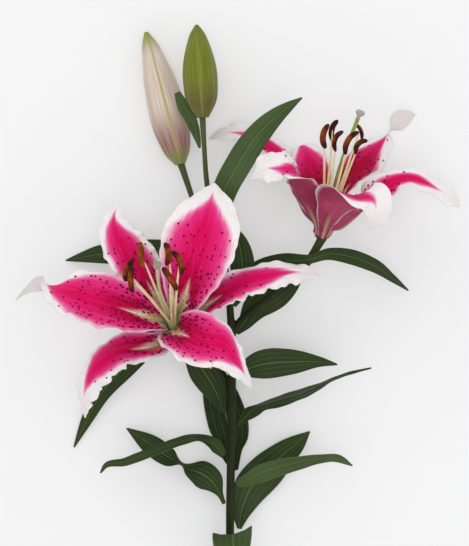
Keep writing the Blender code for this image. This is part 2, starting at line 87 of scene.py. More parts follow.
def along_path(rows, count, up):
    """Even stations along the rows: their values, heading, and an up carried along without twisting."""
    fine = smooth_rows(rows, np.linspace(0, 1, 601))
    run = np.concatenate([[0], np.cumsum(np.linalg.norm(np.diff(fine[:, :3], axis=0), axis=1))])
    goals = np.linspace(0, run[-1], count + 1)
    values = np.stack([np.interp(goals, run, fine[:, k]) for k in range(fine.shape[1])], axis=1)
    heading = np.gradient(values[:, :3], axis=0)
    heading /= np.linalg.norm(heading, axis=1)[:, None]
    ups = []
    up = np.array(up, float)
    for way in heading:
        up = up - way * up.dot(way)
        up = up / np.linalg.norm(up)
        ups.append(up)
    return values, heading, np.array(ups), run[-1]


def rolled(rings):
    """A grid rolled into a closed tube through rings of points, with filled ends."""
    count, sides = rings.shape[0] - 1, rings.shape[1]
    bm = bmesh.new()
    bmesh.ops.create_grid(bm, x_segments=sides, y_segments=count, size=1)
    for vert in bm.verts:
        i = round((vert.co.x + 1) / 2 * sides)
        j = round((vert.co.y + 1) / 2 * count)
        vert.co = rings[j][i % sides]
    bmesh.ops.remove_doubles(bm, verts=bm.verts, dist=0.0005)
    bmesh.ops.holes_fill(bm, edges=[edge for edge in bm.edges if edge.is_boundary])
    return bm


def around(ups, sideways, turn):
    """Directions all the way around each station."""
    return ups[:, None, :] * np.cos(turn)[None, :, None] + sideways[:, None, :] * np.sin(turn)[None, :, None]


def round_rod(rows, radius, sides, count, lobes=0, depth=0.0):
    """A rod along the rows, with shallow ridges where it has lobes."""
    values, heading, ups, _ = along_path(rows, count, (0, 0, 1))
    side = np.cross(heading, ups)
    turn = np.linspace(0, 2 * np.pi, sides, endpoint=False)
    size = radius * values[:, 3][:, None] * (1 + depth * np.cos(lobes * turn)[None, :])
    ring = around(ups, side, turn)
    return rolled(values[:, None, :3] + ring * size[:, :, None])


def pour(part, whole):
    """Adds one mesh to another."""
    spare = bpy.data.meshes.new("spare")
    part.to_mesh(spare)
    part.free()
    whole.from_mesh(spare)
    bpy.data.meshes.remove(spare)


def place_mesh(name, bm, materials):
    """Turns a mesh that is laid out in millimetres into an object in its place."""
    bm.transform(to_frame)
    mesh = bpy.data.meshes.new(name)
    bm.to_mesh(mesh)
    bm.free()
    mesh.shade_smooth()
    ob = bpy.data.objects.new(name, mesh)
    bpy.context.scene.collection.objects.link(ob)
    for mat in materials:
        mesh.materials.append(mat)
    return ob


def finish_piece(name, bm, nodes, materials):
    """Places a closed mesh, hangs it on the root body and hides the parts of the nodes it stands for."""
    bmesh.ops.recalc_face_normals(bm, faces=bm.faces)
    ob = place_mesh(name, bm, materials)
    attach(ob, "root")
    if nodes:
        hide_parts(*nodes)
    return ob


def flower_frame(centre, axis):
    axis = Vector(axis).normalized()
    east = Vector((1, 0, 0))
    east = (east - axis * east.dot(axis)).normalized()
    return Vector(centre), axis, east, axis.cross(east)


def on_ring(flower, azimuth, radius, height):
    centre, axis, east, north = flower
    turn = math.radians(azimuth)
    return centre + axis * height + (east * math.cos(turn) + north * math.sin(turn)) * radius


def new_material(name, roughness=0.5, specular=0.5, subsurface=0.0, radius=(1, 0.3, 0.2)):
    """A material with its plain values set on the shader."""
    mat = bpy.data.materials.new(name)
    mat.use_nodes = True
    shader = mat.node_tree.nodes["Principled BSDF"]
    shader.inputs["Roughness"].default_value = roughness
    shader.inputs["Specular IOR Level"].default_value = specular
    shader.inputs["Subsurface Weight"].default_value = subsurface
    shader.inputs["Subsurface Radius"].default_value = radius
    shader.inputs["Subsurface Scale"].default_value = 0.003
    return mat, mat.node_tree, shader


def add(tree, kind, values=None, **settings):
    """Adds a node. values fill its inputs: a socket is linked, anything else is set."""
    made = tree.nodes.new(kind)
    for key, value in settings.items():
        setattr(made, key, value)
    for key, value in (values or {}).items():
        if isinstance(value, bpy.types.NodeSocket):
            tree.links.new(value, made.inputs[key])
        else:
            made.inputs[key].default_value = value
    return made


def maths(tree, operation, a, b=0.0, clamp=False):
    return add(tree, "ShaderNodeMath", {0: a, 1: b}, operation=operation, use_clamp=clamp).outputs[0]


def times(tree, a, b):
    return maths(tree, "MULTIPLY", a, b)


def plus(tree, a, b):
    return maths(tree, "ADD", a, b)


def minus(tree, a, b):
    return maths(tree, "SUBTRACT", a, b)


def here(tree):
    """Where a point is on its own object."""
    return add(tree, "ShaderNodeTexCoord").outputs["Object"]


def stored(tree, name):
    """The three numbers that the mesh remembers at each point."""
    return split(tree, add(tree, "ShaderNodeAttribute", attribute_name=name).outputs["Vector"])


def split(tree, vector):
    return add(tree, "ShaderNodeSeparateXYZ", {0: vector}).outputs


def noise(tree, vector, scale, detail):
    return add(tree, "ShaderNodeTexNoise", {"Vector": vector, "Scale": scale, "Detail": detail}).outputs[0]


def dress(tree, shader, colour, height, strength, distance):
    """Gives the shader its colour and a fine relief."""
    tree.links.new(colour, shader.inputs["Base Color"])
    bump = add(tree, "ShaderNodeBump", {"Height": height, "Strength": strength, "Distance": distance})
    tree.links.new(bump.outputs[0], shader.inputs["Normal"])


def blend(tree, factor, a, b):
    """Colour a where factor is 0, colour b where it is 1."""
    return add(tree, "ShaderNodeMix", {0: factor, 6: a, 7: b}, data_type="RGBA").outputs[2]


def fade(tree, value, low, high, to_low=0.0, to_high=1.0):
    """A smooth step of a value from low to high."""
    made = add(
        tree,
        "ShaderNodeMapRange",
        {"Value": value, "From Min": low, "From Max": high, "To Min": to_low, "To Max": to_high},
        interpolation_type="SMOOTHSTEP",
    )
    return made.outputs[0]


def socket_group(name, inputs, outputs):
    """An empty node group with its input and output nodes. All its sockets but Colour are plain values."""
    group = bpy.data.node_groups.new(name, "ShaderNodeTree")
    for in_out, labels in (("INPUT", inputs), ("OUTPUT", outputs)):
        for label in labels:
            kind = "NodeSocketColor" if label == "Colour" else "NodeSocketFloat"
            group.interface.new_socket(label, in_out=in_out, socket_type=kind)
    return group, group.nodes.new("NodeGroupInput"), group.nodes.new("NodeGroupOutput")


def use(tree, group, values):
    return add(tree, "ShaderNodeGroup", values, node_tree=group).outputs


# Cloudy variation of tone over a plant's skin, coarse and fine together.
mottle, given, out = socket_group("mottle", ["Coarse", "Fine"], ["Tone", "Grain"])
where = here(mottle)
coarse = noise(mottle, where, given.outputs["Coarse"], 3.0)
mottle.links.new(fade(mottle, coarse, 0.3, 0.7), out.inputs["Tone"])
mottle.links.new(noise(mottle, where, given.outputs["Fine"], 4.0), out.inputs["Grain"])


def mottled(tree, coarse_scale, fine_scale):
    return use(tree, mottle, {"Coarse": coarse_scale, "Fine": fine_scale})


front = flower_frame(FRONT_CENTRE, FRONT_AXIS)
side = flower_frame(SIDE_CENTRE, SIDE_AXIS)


def into_bud(rows, deep):
    """The rows with one more beyond their end, so that a stalk runs into the bud it carries."""
    last, before = Vector(rows[-1][:3]), Vector(rows[-2][:3])
    return rows + [(*(last + (last - before).normalized() * deep), rows[-1][3] * 1.15)]


stem_bm = round_rod(into_bud(STEM, 6.5), STEM_RADIUS, 40, 260)
for rows, radius, flower in (
    (FRONT_PEDICEL, PEDICEL_RADIUS, front),
    (SIDE_PEDICEL, PEDICEL_RADIUS, side),
    (into_bud(BUD_PEDICEL, 6.5), BUD_PEDICEL_RADIUS, None),
):
    rows = list(rows)
    if flower:
        rows.append((*on_ring(flower, 0, 0, -4.0), 1.3))
        rows.append((*on_ring(flower, 0, 0, -0.5), 2.1))
        rows.append((*on_ring(flower, 0, 0, 1.0), 2.2))
    pour(round_rod(rows, radius, 32, 90), stem_bm)

stem_mat, tree, shader = new_material("stem_skin", 0.5, 0.1)
where = here(tree)
tones = mottled(tree, 45.0, 900.0)
stretched = add(tree, "ShaderNodeMapping", {"Vector": where, "Scale": (1400.0, 40.0, 1400.0)})
fibres = noise(tree, stretched.outputs[0], 1.0, 2.0)
facing = split(tree, add(tree, "ShaderNodeNewGeometry").outputs["Normal"])
lit_side = fade(tree, facing[0], -0.9, 0.9)
skin = blend(tree, lit_side, (0.009, 0.012, 0.003, 1), (0.021, 0.027, 0.008, 1))
skin = blend(tree, times(tree, fade(tree, fibres, 0.45, 0.75), 0.35), skin, (0.04, 0.05, 0.014, 1))
young = fade(tree, split(tree, where)[1], 0.02, 0.12)
skin = blend(tree, times(tree, young, 0.6), skin, (0.12, 0.15, 0.055, 1))
skin = blend(tree, times(tree, tones["Tone"], 0.3), skin, (0.035, 0.04, 0.014, 1))
dress(tree, shader, skin, fibres, 0.35, 0.0003)
stalk = finish_piece("stem_skin", stem_bm, ["stem"], [stem_mat])
fused = stalk.modifiers.new("fused", "REMESH")
fused.mode = "VOXEL"
fused.voxel_size = 0.0005
fused.use_smooth_shade = True
soft = stalk.modifiers.new("soft", "SMOOTH")
soft.factor = 0.5
soft.iterations = 8

# The knife's cut across the foot of the stem: pale, moist flesh with the ends of its scattered strands.
cut_bm = bmesh.new()
bmesh.ops.create_circle(cut_bm, cap_ends=True, cap_tris=False, segments=48, radius=2.55)
bmesh.ops.inset_region(cut_bm, faces=cut_bm.faces, thickness=0.5, depth=0.12)
back = bmesh.ops.extrude_face_region(cut_bm, geom=list(cut_bm.faces))
bmesh.ops.translate(
    cut_bm, vec=(0, 0, -0.3), verts=[v for v in back["geom"] if isinstance(v, bmesh.types.BMVert)]
)
foot_way = Vector(STEM[0][:3]) - Vector(STEM[1][:3])
cut_bm.transform(foot_way.to_track_quat("Z", "Y").to_matrix().to_4x4())
cut_bm.transform(Matrix.Translation(Vector(STEM[0][:3]) + foot_way.normalized() * 0.05))
cut_mat, tree, shader = new_material("stem_cut", 0.35, 0.5, 0.1)
where = here(tree)
strands = add(tree, "ShaderNodeTexVoronoi", {"Vector": where, "Scale": 1500.0}).outputs["Distance"]
flesh = blend(tree, fade(tree, strands, 0.15, 0.35), (0.16, 0.2, 0.06, 1), (0.46, 0.5, 0.24, 1))
dress(tree, shader, flesh, strands, 0.5, 0.0002)
finish_piece("stem_cut", cut_bm, [], [cut_mat])

# ---- leaves
# Long, pointed, leathery leaves that grow straight out of the stem, without a stalk. Each is dark and glossy
# above and paler below, with a sunken midrib and a few parallel veins, and droops, twists or folds. A row is
# x, y, z, half width, roll in degrees, cup in degrees.
LEAVES = {
    "leaf_bract": [
        (-20, 330, 32, 0.8, 0, 0), (-22, 338, 31, 2.5, 0, 10), (-26, 349, 29, 4, 0, 10),
        (-31, 358, 27, 4, 0, 0), (-35, 367, 26, 2, 0, 0),
    ],
    "leaf_upper_left": [
        (-6, 246, 27, 2, 0, 20), (-14, 251, 22, 5, 0, 20), (-30, 259, 18, 8, 0, 10),
        (-50, 262, 15, 8, 0, 5), (-70, 261, 12, 7.5, 0, 0), (-88, 260, 8, 6, 0, 0),
        (-110, 256, 3, 0.5, 0, 0),
    ],
    "leaf_upper_right": [
        (-3, 252, 37, 1.5, 0, 20), (-7, 266, 40, 5, 0, 20), (-8, 286, 44, 7.5, 0, 10),
        (-3, 303, 48, 8.3, 0, 10), (5, 318, 50, 8.8, 0, 10), (13, 331, 51, 8.6, 0, 10),
        (21, 341, 52, 7.5, 0, 5), (29, 349, 53, 5.8, 0, 0), (38, 356, 53, 3.4, 0, 0),
        (47, 362, 52, 0.5, 0, 0),
    ],
    "leaf_top_right": [
        (2, 226, 33, 2, 0, 20), (7, 238, 40, 6, 0, 20), (8, 254, 43, 8, 0, 10), (6, 267, 43, 6, 0, 0),
        (3, 279, 43, 0.5, 0, 0),
    ],
    "leaf_side_flower": [
        (4, 233, 31, 1.2, 0, 20), (11, 243, 33, 5, 0, 20), (21, 250, 37, 7, 0, 10), (36, 255, 47, 6, 0, 0),
        (48, 256, 53, 4, 0, 0), (54, 257, 54, 3, 0, 0), (65, 260, 51, 4, 0, 0), (80, 258, 42, 5, 0, 0),
        (96, 252, 29, 4.4, 0, 0), (108, 244, 16, 2.6, 0, 0), (119, 236, 3, 0.5, 0, 0),
    ],
    "leaf_pedicel": [
        (4, 208, 24, 2, 0, 20), (10, 215, 24, 5, 0, 20), (18, 226, 25, 9, 0, 10), (30, 234, 26, 10, 0, 0),
        (40, 242, 28, 7, 0, 0), (49, 251, 30, 0.5, 0, 0),
    ],
    "leaf_right_upper": [
        (5, 179, 23, 1.2, 0, 20), (14, 185, 26, 7.5, 0, 15), (26, 188, 28, 10, 0, 10),
        (43, 189, 28, 8, 0, 5), (58, 189, 26, 3.8, 0, 0), (71, 187, 22, 0.5, 0, 0),
    ],
    "leaf_right_arching": [
        (5, 146, 19, 1.2, 0, 20), (10, 152, 22, 3, 0, 20), (18, 159, 28, 7.5, 50, 20),
        (32, 164, 33, 9.5, 50, 15), (48, 169, 36, 8, 50, 10), (66, 177, 37, 3.2, 50, 5),
        (80, 182, 35, 1.5, 40, 0), (93, 185, 32, 0.5, 0, 0),
    ],
    "leaf_behind_flower": [
        (-4.5, 155, 16, 1.2, 0, 20), (-8, 165, 14, 6, 0, 15), (-13, 175, 13, 9.5, 0, 10),
        (-19, 184, 13, 9.5, 0, 5), (-25, 192, 14, 6, 0, 0), (-31, 200, 17, 0.5, 0, 0),
    ],
    "leaf_behind_stem": [
        (3, 116, 9, 2.5, 0, 20), (0.5, 129, 6, 8, 0, 15), (0.5, 139, 4.5, 12, 0, 12),
        (-1.5, 148, 4, 13.5, 0, 10), (-5.5, 162, 3, 12.5, 0, 5), (-9, 173, 3, 10, 0, 0),
        (-13, 186, 3, 5.5, 0, 0), (-16, 197, 3, 0.5, 0, 0),
    ],
    "leaf_left_arching": [
        (-4, 126, 16, 2, 0, 20), (-9, 132, 18, 4.5, 20, 20), (-15, 136, 21, 5.2, 60, 15),
        (-23, 138.5, 24, 5, 80, 10), (-34, 136, 27, 4, 70, 10), (-53, 129, 29, 3.8, 60, 5),
        (-69, 123, 27, 3.2, 60, 0), (-81, 121, 24, 2.2, 50, 0), (-86, 115, 19, 0.5, 0, 0),
    ],
    "leaf_left_twisted": [
        (-4, 94, 11, 1.2, 0, 20), (-7, 101, 13, 2.5, 0, 20), (-12, 109, 14, 8, 0, 15),
        (-19, 114, 13, 9, 10, 5), (-27, 117, 12, 6, 40, 0), (-33, 121, 12, 3.5, 75, 0),
        (-41, 125, 12, 6.5, 20, 0), (-54, 134, 10, 6.5, 0, 0), (-69, 144, 7, 0.5, 0, 0),
    ],
    "leaf_right_lance": [
        (4, 107, 15, 1.5, 0, 20), (11, 110, 20, 5, 30, 15), (25, 117, 27, 8, 40, 10),
        (42, 122, 31, 7, 40, 10), (59, 125, 31, 4, 40, 5), (71, 125, 27, 3, 30, 0),
        (81, 120, 21, 0.5, 0, 0),
    ],
    "leaf_right_broad": [
        (6, 77, 7, 1.5, 0, 20), (8, 90, 4.5, 7.5, 0, 10), (14, 104, 3.5, 11.7, 0, 10),
        (24.5, 115.5, 3.5, 12, 0, 5), (35, 126, 5, 9.2, 0, 0), (44.5, 134, 7.5, 6, 0, 0),
        (53, 142, 10, 0.5, 0, 0),
    ],
    "leaf_foot": [
        (0, 33, 10, 2, 0, 20), (1, 48, 20, 6, 0, 30), (1, 66, 34, 12, 0, 35), (2, 76.5, 46, 13.5, 0, 30),
        (2, 73, 58, 13, 0, 20), (3, 60, 66, 8, 0, 10), (3, 44, 68, 0.5, 0, 0),
    ],
    "leaf_lower_left": [
        (-4, 232, 29, 1.5, 0, 20), (-20, 223, 20, 5, 0, 15), (-38, 213, 14, 7, 0, 10),
        (-54.5, 200, 10, 7.5, 0, 10), (-69.5, 185.5, 7, 7.5, 0, 5), (-85, 168.5, 4.5, 6, 0, 0),
        (-95.5, 150, 2.8, 4, 0, 0), (-104.5, 131, 1, 0.5, 0, 0),
    ],
}
LEAF_FACING = {"leaf_foot": (0, 1, 0.35)}


def blade_surface(rows, facing, across, count, relief):
    """Points of a blade's upper face, as a grid of (across, along), with its length and half widths."""
    values, heading, ups, length = along_path(rows, count, facing)
    side_way = np.cross(heading, ups)
    roll = np.radians(values[:, 4])[:, None]
    face = ups * np.cos(roll) + side_way * np.sin(roll)
    edge = side_way * np.cos(roll) - ups * np.sin(roll)
    half = np.maximum(values[:, 3], 0.12)[:, None]
    cup = np.radians(values[:, 5])[:, None]
    cup = np.where(np.abs(cup) < 0.02, 0.02, cup)
    u = np.linspace(-1, 1, across + 1)[None, :]
    v = np.linspace(0, 1, count + 1)[:, None]
    turn = cup * u
    rise, spread = relief(u, v, half)
    outward = half * np.sin(turn) / cup + spread * np.sign(u)
    upward = half * (1 - np.cos(turn)) / cup
    normal = face[:, None, :] * np.cos(turn)[..., None] - edge[:, None, :] * np.sin(turn)[..., None]
    points = values[
        :, None, :3
    ] + edge[:, None, :] * outward[..., None] + face[:, None, :] * upward[..., None]
    return points + normal * rise[..., None], normal, length, half


def blade_mesh(points, length, half, seed, look):
    """The grid of points as a mesh that remembers where on the blade each point is."""
    count, across = points.shape[0] - 1, points.shape[1] - 1
    bm = bmesh.new()
    bmesh.ops.create_grid(bm, x_segments=across, y_segments=count, size=1)
    blade = bm.verts.layers.float_vector.new("blade")
    spread = bm.verts.layers.float_vector.new("spread")
    tint = bm.verts.layers.float_vector.new("look")
    for vert in bm.verts:
        u, v = vert.co.x, (vert.co.y + 1) / 2
        i, j = round((u + 1) / 2 * across), round(v * count)
        vert[blade] = (u, v, seed)
        vert[spread] = (u * half[j][0] / 1000, v * length / 1000, seed)
        vert[tint] = look
        vert.co = points[j][i]
    return bm


def thick_blade(name, bm, facing_up, node, materials, thickness):
    """Gives a blade its thickness, thinner towards its edges, with its underside in the second material."""
    blade = bm.verts.layers.float_vector["blade"]
    thin = [max(0.35, 1 - 0.75 * vert[blade][0] ** 2) for vert in bm.verts]
    bm.normal_update()

    def off_middle(face):
        return sum(abs(vert[blade][0]) + abs(vert[blade][1] - 0.5) for vert in face.verts)

    centre = min(bm.faces, key=off_middle)
    if centre.normal.dot(Vector(facing_up)) < 0:
        bmesh.ops.reverse_faces(bm, faces=bm.faces)
    ob = place_mesh(name, bm, materials)
    group = ob.vertex_groups.new(name="thick")
    for i, weight in enumerate(thin):
        group.add([i], weight, "REPLACE")
    solid = ob.modifiers.new("thickness", "SOLIDIFY")
    solid.thickness = thickness / 1000
    solid.offset = 0
    solid.vertex_group = "thick"
    solid.use_quality_normals = True
    solid.material_offset = 1
    solid.material_offset_rim = 1
    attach(ob, "root")
    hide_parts(node)


# Fine parallel veins that follow a blade's outline from its foot to its tip.
veins, given, out = socket_group(
    "parallel_veins", ["Count", "Width"], ["Vein", "Midrib", "Across", "Along"]
)
spot = stored(veins, "blade")
wander = noise(veins, here(veins), 60.0, 1.0)
across = plus(veins, spot[0], times(veins, minus(veins, wander, 0.5), 0.04))
turns = times(veins, across, times(veins, given.outputs["Count"], math.pi))
wave = maths(veins, "ABSOLUTE", maths(veins, "SINE", turns))
line = minus(veins, 1.0, maths(veins, "DIVIDE", wave, given.outputs["Width"], clamp=True))
veins.links.new(line, out.inputs["Vein"])
size = maths(veins, "ABSOLUTE", spot[0])
veins.links.new(fade(veins, size, 0.0, 0.09, 1.0, 0.0), out.inputs["Midrib"])
veins.links.new(size, out.inputs["Across"])
veins.links.new(spot[1], out.inputs["Along"])


def veined(tree, number, width):
    return use(tree, veins, {"Count": number, "Width": width})


leaf_mats = []
for name, dark, light, vein_colour, rough, vein_share in (
    ("leaf_upper", (0.006, 0.016, 0.001, 1), (0.058, 0.096, 0.03, 1), (0.13, 0.19, 0.045, 1), 0.42, 0.85),
    ("leaf_under", (0.055, 0.075, 0.035, 1), (0.085, 0.105, 0.055, 1), (0.15, 0.18, 0.09, 1), 0.5, 0.5),
):
    mat, tree, shader = new_material(name, rough, 0.15)
    lines = veined(tree, 3.0, 0.13)
    tiny = veined(tree, 23.0, 0.8)
    tones = mottled(tree, 40.0, 1500.0)
    # Each leaf's lightness from LEAF_TONE; on leaf_upper_right its light tone is painted sheen.
    leaf_lightness = stored(tree, "look")[0]
    colour = blend(tree, times(tree, leaf_lightness, fade(tree, tones["Tone"], 0.0, 1.0, 0.7, 1.0)), dark, light)
    colour = blend(tree, times(tree, tiny["Vein"], 0.12), colour, vein_colour)
    colour = blend(tree, times(tree, lines["Vein"], vein_share), colour, vein_colour)
    colour = blend(tree, times(tree, lines["Midrib"], 0.6), colour, vein_colour)
    colour = blend(tree, times(tree, fade(tree, lines["Across"], 0.93, 1.0), 0.5), colour, vein_colour)
    tree.links.new(
        fade(tree, tones["Grain"], 0.3, 0.7, rough - 0.06, rough + 0.1), shader.inputs["Roughness"]
    )
    height = plus(tree, times(tree, tiny["Vein"], 0.5), times(tree, tones["Grain"], 0.4))
    dress(tree, shader, colour, height, 0.3, 0.0002)
    leaf_mats.append(mat)


def leaf_relief(wave_size, waves, phase):
    def relief(u, v, half):
        """A sunken midrib, faint ribs between the veins, and a slow wave along each edge."""
        fold = -0.5 * np.exp(-((u * half / 0.9) ** 2)) * np.minimum(1, half / 5)
        ribs = 0.1 * np.cos(5 * math.pi * u) * np.minimum(1, half / 6)
        ends = np.clip(v / 0.2, 0, 1) * np.clip((1 - v) / 0.15, 0, 1)
        beat = 2 * math.pi * waves * v
        left = np.sin(beat + phase) + 0.4 * np.sin(2.3 * beat + 2.1 * phase)
        right = np.sin(1.15 * beat + 1.7 * phase) + 0.4 * np.sin(2.6 * beat)
        edge = np.where(u > 0, right, left) * np.abs(u) ** 2 * wave_size * ends
        return fold + ribs + edge, 0 * edge

    return relief


# How light each leaf is coloured, from 0 for the darkest to 1, leaf by leaf. On leaf_upper_right the light
# tone is painted sheen: it stands for the gloss of light on that leaf.
LEAF_TONE = {
    "leaf_upper_right": 0.95, "leaf_right_lance": 1.0, "leaf_right_upper": 0.4, "leaf_right_broad": 0.5,
    "leaf_right_arching": 0.12, "leaf_left_arching": 0.45, "leaf_bract": 1.0, "leaf_foot": 0.9,
    "leaf_side_flower": 0.25, "leaf_behind_stem": 0.05,
}
LEAF_ACROSS, LEAF_ALONG, LEAF_THICKNESS = 24, 110, 0.7
for number, (name, rows) in enumerate(LEAVES.items()):
    relief = leaf_relief(0.3, 2.2 + 0.3 * (number % 4), 1.1 * number)
    facing = LEAF_FACING.get(name, (0, 0, 1))
    points, normal, length, half = blade_surface(rows, facing, LEAF_ACROSS, LEAF_ALONG, relief)
    bm = blade_mesh(points, length, half, number, (LEAF_TONE.get(name, 0.3), 0.0, 0.0))
    middle = normal[LEAF_ALONG // 2][LEAF_ACROSS // 2]
    thick_blade(name + "_skin", bm, middle, name, leaf_mats, LEAF_THICKNESS)

# ---- buds
# Closed, firm buds of six folded, waxy tepals, each grown onto the end of its stalk. Three outer tepals show,
# each with a raised rib down its back and a seam between them. The long bud has gone pale and the small one
# is still green.
LONG_BUD = ((-33, 320, 12.7), (-56, 408, 11))
LONG_BUD_RADII = [0.28, 0.67, 0.84, 0.96, 1.0, 0.97, 0.91, 0.84, 0.71, 0.58, 0.4, 0.10]
GREEN_BUD = ((-18, 350, 34), (-22, 411, 34))
GREEN_BUD_RADII = [0.35, 0.65, 0.87, 0.96, 0.99, 1.0, 0.96, 0.88, 0.76, 0.61, 0.42, 0.09]
LONG_BUD_RADIUS, GREEN_BUD_RADIUS = 12.6, 11.4


def bud_mesh(ends, radii, radius, turn_to, bend):
    """A bud as a rolled grid that remembers its angle and its share of length."""
    foot, tip = np.array(ends[0], float), np.array(ends[1], float)
    along = (tip - foot) / np.linalg.norm(tip - foot)
    up = np.array((0, 0, 1.0))
    up -= along * up.dot(along)
    up /= np.linalg.norm(up)
    across = np.cross(along, up)
    count, sides = 150, 96
    share = np.linspace(0, 1, count + 1)
    size = smooth_rows([(r,) for r in radii], share)[:, 0]
    size = np.maximum(size, 0.06) * radius
    turn = np.linspace(0, 2 * np.pi, sides, endpoint=False)
    own = turn[None, :] - turn_to
    ridge = 0.035 * np.exp(-((np.sin(1.5 * own) / 0.16) ** 2))
    groove = -0.03 * np.exp(-((np.cos(1.5 * own) / 0.1) ** 2))
    flat = 0.045 * np.cos(3 * own)
    ends_share = np.clip(share / 0.12, 0, 1)[:, None]
    shape = 1 + (ridge + groove + flat) * ends_share
    ring = around(up[None, :], across[None, :], turn)
    centre = foot + (tip - foot) * share[:, None] + across * (bend * np.sin(np.pi * share))[:, None]
    bm = rolled(centre[:, None, :] + ring * (size[:, None] * shape)[..., None])
    blade = bm.verts.layers.float_vector.new("blade")
    for vert in bm.verts:
        way = np.array(vert.co) - foot
        lengthwise = way.dot(along)
        angle = math.atan2(way.dot(across), way.dot(up)) - turn_to
        vert[blade] = (math.sin(1.5 * angle), lengthwise / np.linalg.norm(tip - foot), math.cos(1.5 * angle))
    return bm


bud_mats = []
for name, rib_share, groove_shade_share, foot_colour, blush_and_groove_shade, body, body_two, rib, tip_colour in (
    (
        "bud_pink", 0.85, 0.0, (0.24, 0.26, 0.09, 1), (0.2, 0.06, 0.05, 1), (0.6, 0.46, 0.39, 1),
        (0.72, 0.65, 0.54, 1), (0.4, 0.34, 0.1, 1), (0.24, 0.28, 0.05, 1),
    ),
    (
        "bud_green", 0.6, 0.8, (0.13, 0.13, 0.035, 1), (0.12, 0.085, 0.03, 1), (0.13, 0.15, 0.01, 1),
        (0.19, 0.22, 0.022, 1), (0.26, 0.31, 0.05, 1), (0.13, 0.17, 0.02, 1),
    ),
):
    mat, tree, shader = new_material(name, 0.42, 0.2)
    on_bud = add(tree, "ShaderNodeAttribute", attribute_name="blade").outputs["Vector"]
    spot = split(tree, on_bud)
    tones = mottled(tree, 70.0, 1200.0)
    drawn = add(tree, "ShaderNodeMapping", {"Vector": on_bud, "Scale": (9.0, 1.8, 9.0)})
    lines = noise(tree, drawn.outputs[0], 1.5, 3.0)
    from_rib = maths(tree, "ABSOLUTE", spot[0])
    colour = blend(tree, fade(tree, lines, 0.4, 0.62), body, body_two)
    flush = times(tree, fade(tree, spot[1], 0.48, 0.14), fade(tree, lines, 0.35, 0.6, 0.35, 0.95))
    colour = blend(tree, flush, colour, blush_and_groove_shade)
    colour = blend(tree, fade(tree, spot[1], 0.15, 0.03), colour, foot_colour)
    on_rib = fade(tree, from_rib, 0.05, 0.15, 1.0, 0.0)
    on_seam = fade(tree, maths(tree, "ABSOLUTE", spot[2]), 0.02, 0.08, 1.0, 0.0)
    colour = blend(tree, times(tree, on_rib, rib_share), colour, rib)
    # On the green bud a thin dark line in the blush colour runs down the middle of each rib: painted shade of
    # a groove.
    colour = blend(tree, times(tree, fade(tree, from_rib, 0.01, 0.05, 1.0, 0.0), groove_shade_share), colour, blush_and_groove_shade)
    colour = blend(tree, times(tree, on_seam, 0.6), colour, rib)
    colour = blend(tree, fade(tree, spot[1], 0.8, 1.0), colour, tip_colour)
    height = plus(tree, times(tree, lines, 0.6), times(tree, tones["Grain"], 0.3))
    dress(tree, shader, colour, height, 0.25, 0.0004)
    bud_mats.append(mat)

long_bm = bud_mesh(LONG_BUD, LONG_BUD_RADII, LONG_BUD_RADIUS, 0.05, 0.6)
finish_piece("bud_long_skin", long_bm, ["bud_long"], [bud_mats[0]])
green_bm = bud_mesh(GREEN_BUD, GREEN_BUD_RADII, GREEN_BUD_RADIUS, 0.0, 0.0)
finish_piece("bud_green_skin", green_bm, ["bud_green"], [bud_mats[1]])

# ---- flowers: petals and sepals
# Three broad petals over three narrower sepals, soft and waxy, grown onto the flower's floor. The face is
# white at its frilled margin and crimson along its middle, with dark raised pimples and a green furrow. The
# back is greenish white and mauve. A tepal is its ring, its direction in degrees, and rows like a leaf's.
PETAL_RING, SEPAL_RING = 3.9, 5.3
FRONT_TEPALS = {
    "front_petal_top": (PETAL_RING, 70, [
        (-30, 230, 64, 12, 0, 45), (-25, 248, 74, 21, 0, 25), (-20, 266, 76, 25, 0, 15),
        (-15, 283, 72, 22, 0, 5), (-12, 296, 64, 13, 0, 0), (-10, 306, 55, 0.6, 0, 0),
    ]),
    "front_petal_right": (PETAL_RING, 310, [
        (-35, 209.8, 66, 12.5, 0, 60), (-28.9, 207.6, 79, 18.5, 0, 42), (-17, 203.4, 88, 20, 0, 12),
        (-5, 200.6, 90, 16.5, 0, -15), (4, 190.5, 86, 10, 0, -22), (10.3, 181, 80, 4.8, 0, -15),
        (13.8, 173.2, 72, 0.6, 0, 0),
    ]),
    "front_petal_left": (PETAL_RING, 190, [
        (-47, 217, 64, 10, 0, 50), (-61, 222, 75, 18, 0, 30), (-79, 228, 81, 22, 0, 15),
        (-95, 233, 79, 21, 0, 10), (-110, 237, 73, 14, 0, 10), (-118, 240, 66, 6.5, 60, 20),
        (-124, 241, 61, 5.5, 140, 20), (-132, 238, 55, 5, 170, 20), (-140, 230, 47, 0.6, 175, 0),
    ]),
    "front_sepal_right": (SEPAL_RING, 10, [
        (-27, 220, 56, 7, 0, 45), (-18, 225, 61, 9, 0, 30), (-6, 233, 65, 11, 0, 15),
        (8, 241, 66, 12, 0, 0), (21, 245, 66, 11, 0, -10), (35, 248, 65, 10, 0, -15),
        (48, 248, 62, 7, 0, -10), (58, 246, 57, 0.6, 0, 0),
    ]),
    "front_sepal_left": (SEPAL_RING, 250, [
        (-40, 207, 57, 6, 0, 45), (-47, 201, 64, 9, 0, 30), (-58, 199, 68, 11, 0, 15),
        (-71, 197, 69, 12, 0, 0), (-82, 189, 67, 12, 0, -10), (-90, 179, 62, 11, 0, -10),
        (-95, 166, 54, 8, 0, -5), (-95, 153, 45, 0.6, 0, 0),
    ]),
    "front_sepal_top": (SEPAL_RING, 130, [
        (-43, 224, 54, 7, 0, 45), (-51, 237, 58, 12, 0, 25), (-58.5, 250, 61, 15.3, 0, 10),
        (-67.3, 263, 61, 15.5, 0, 0), (-74, 275, 58, 11.8, 0, -5), (-75.5, 285, 53, 6.2, 0, 0),
        (-72.5, 293.5, 47, 0.6, 0, 0),
    ]),
}
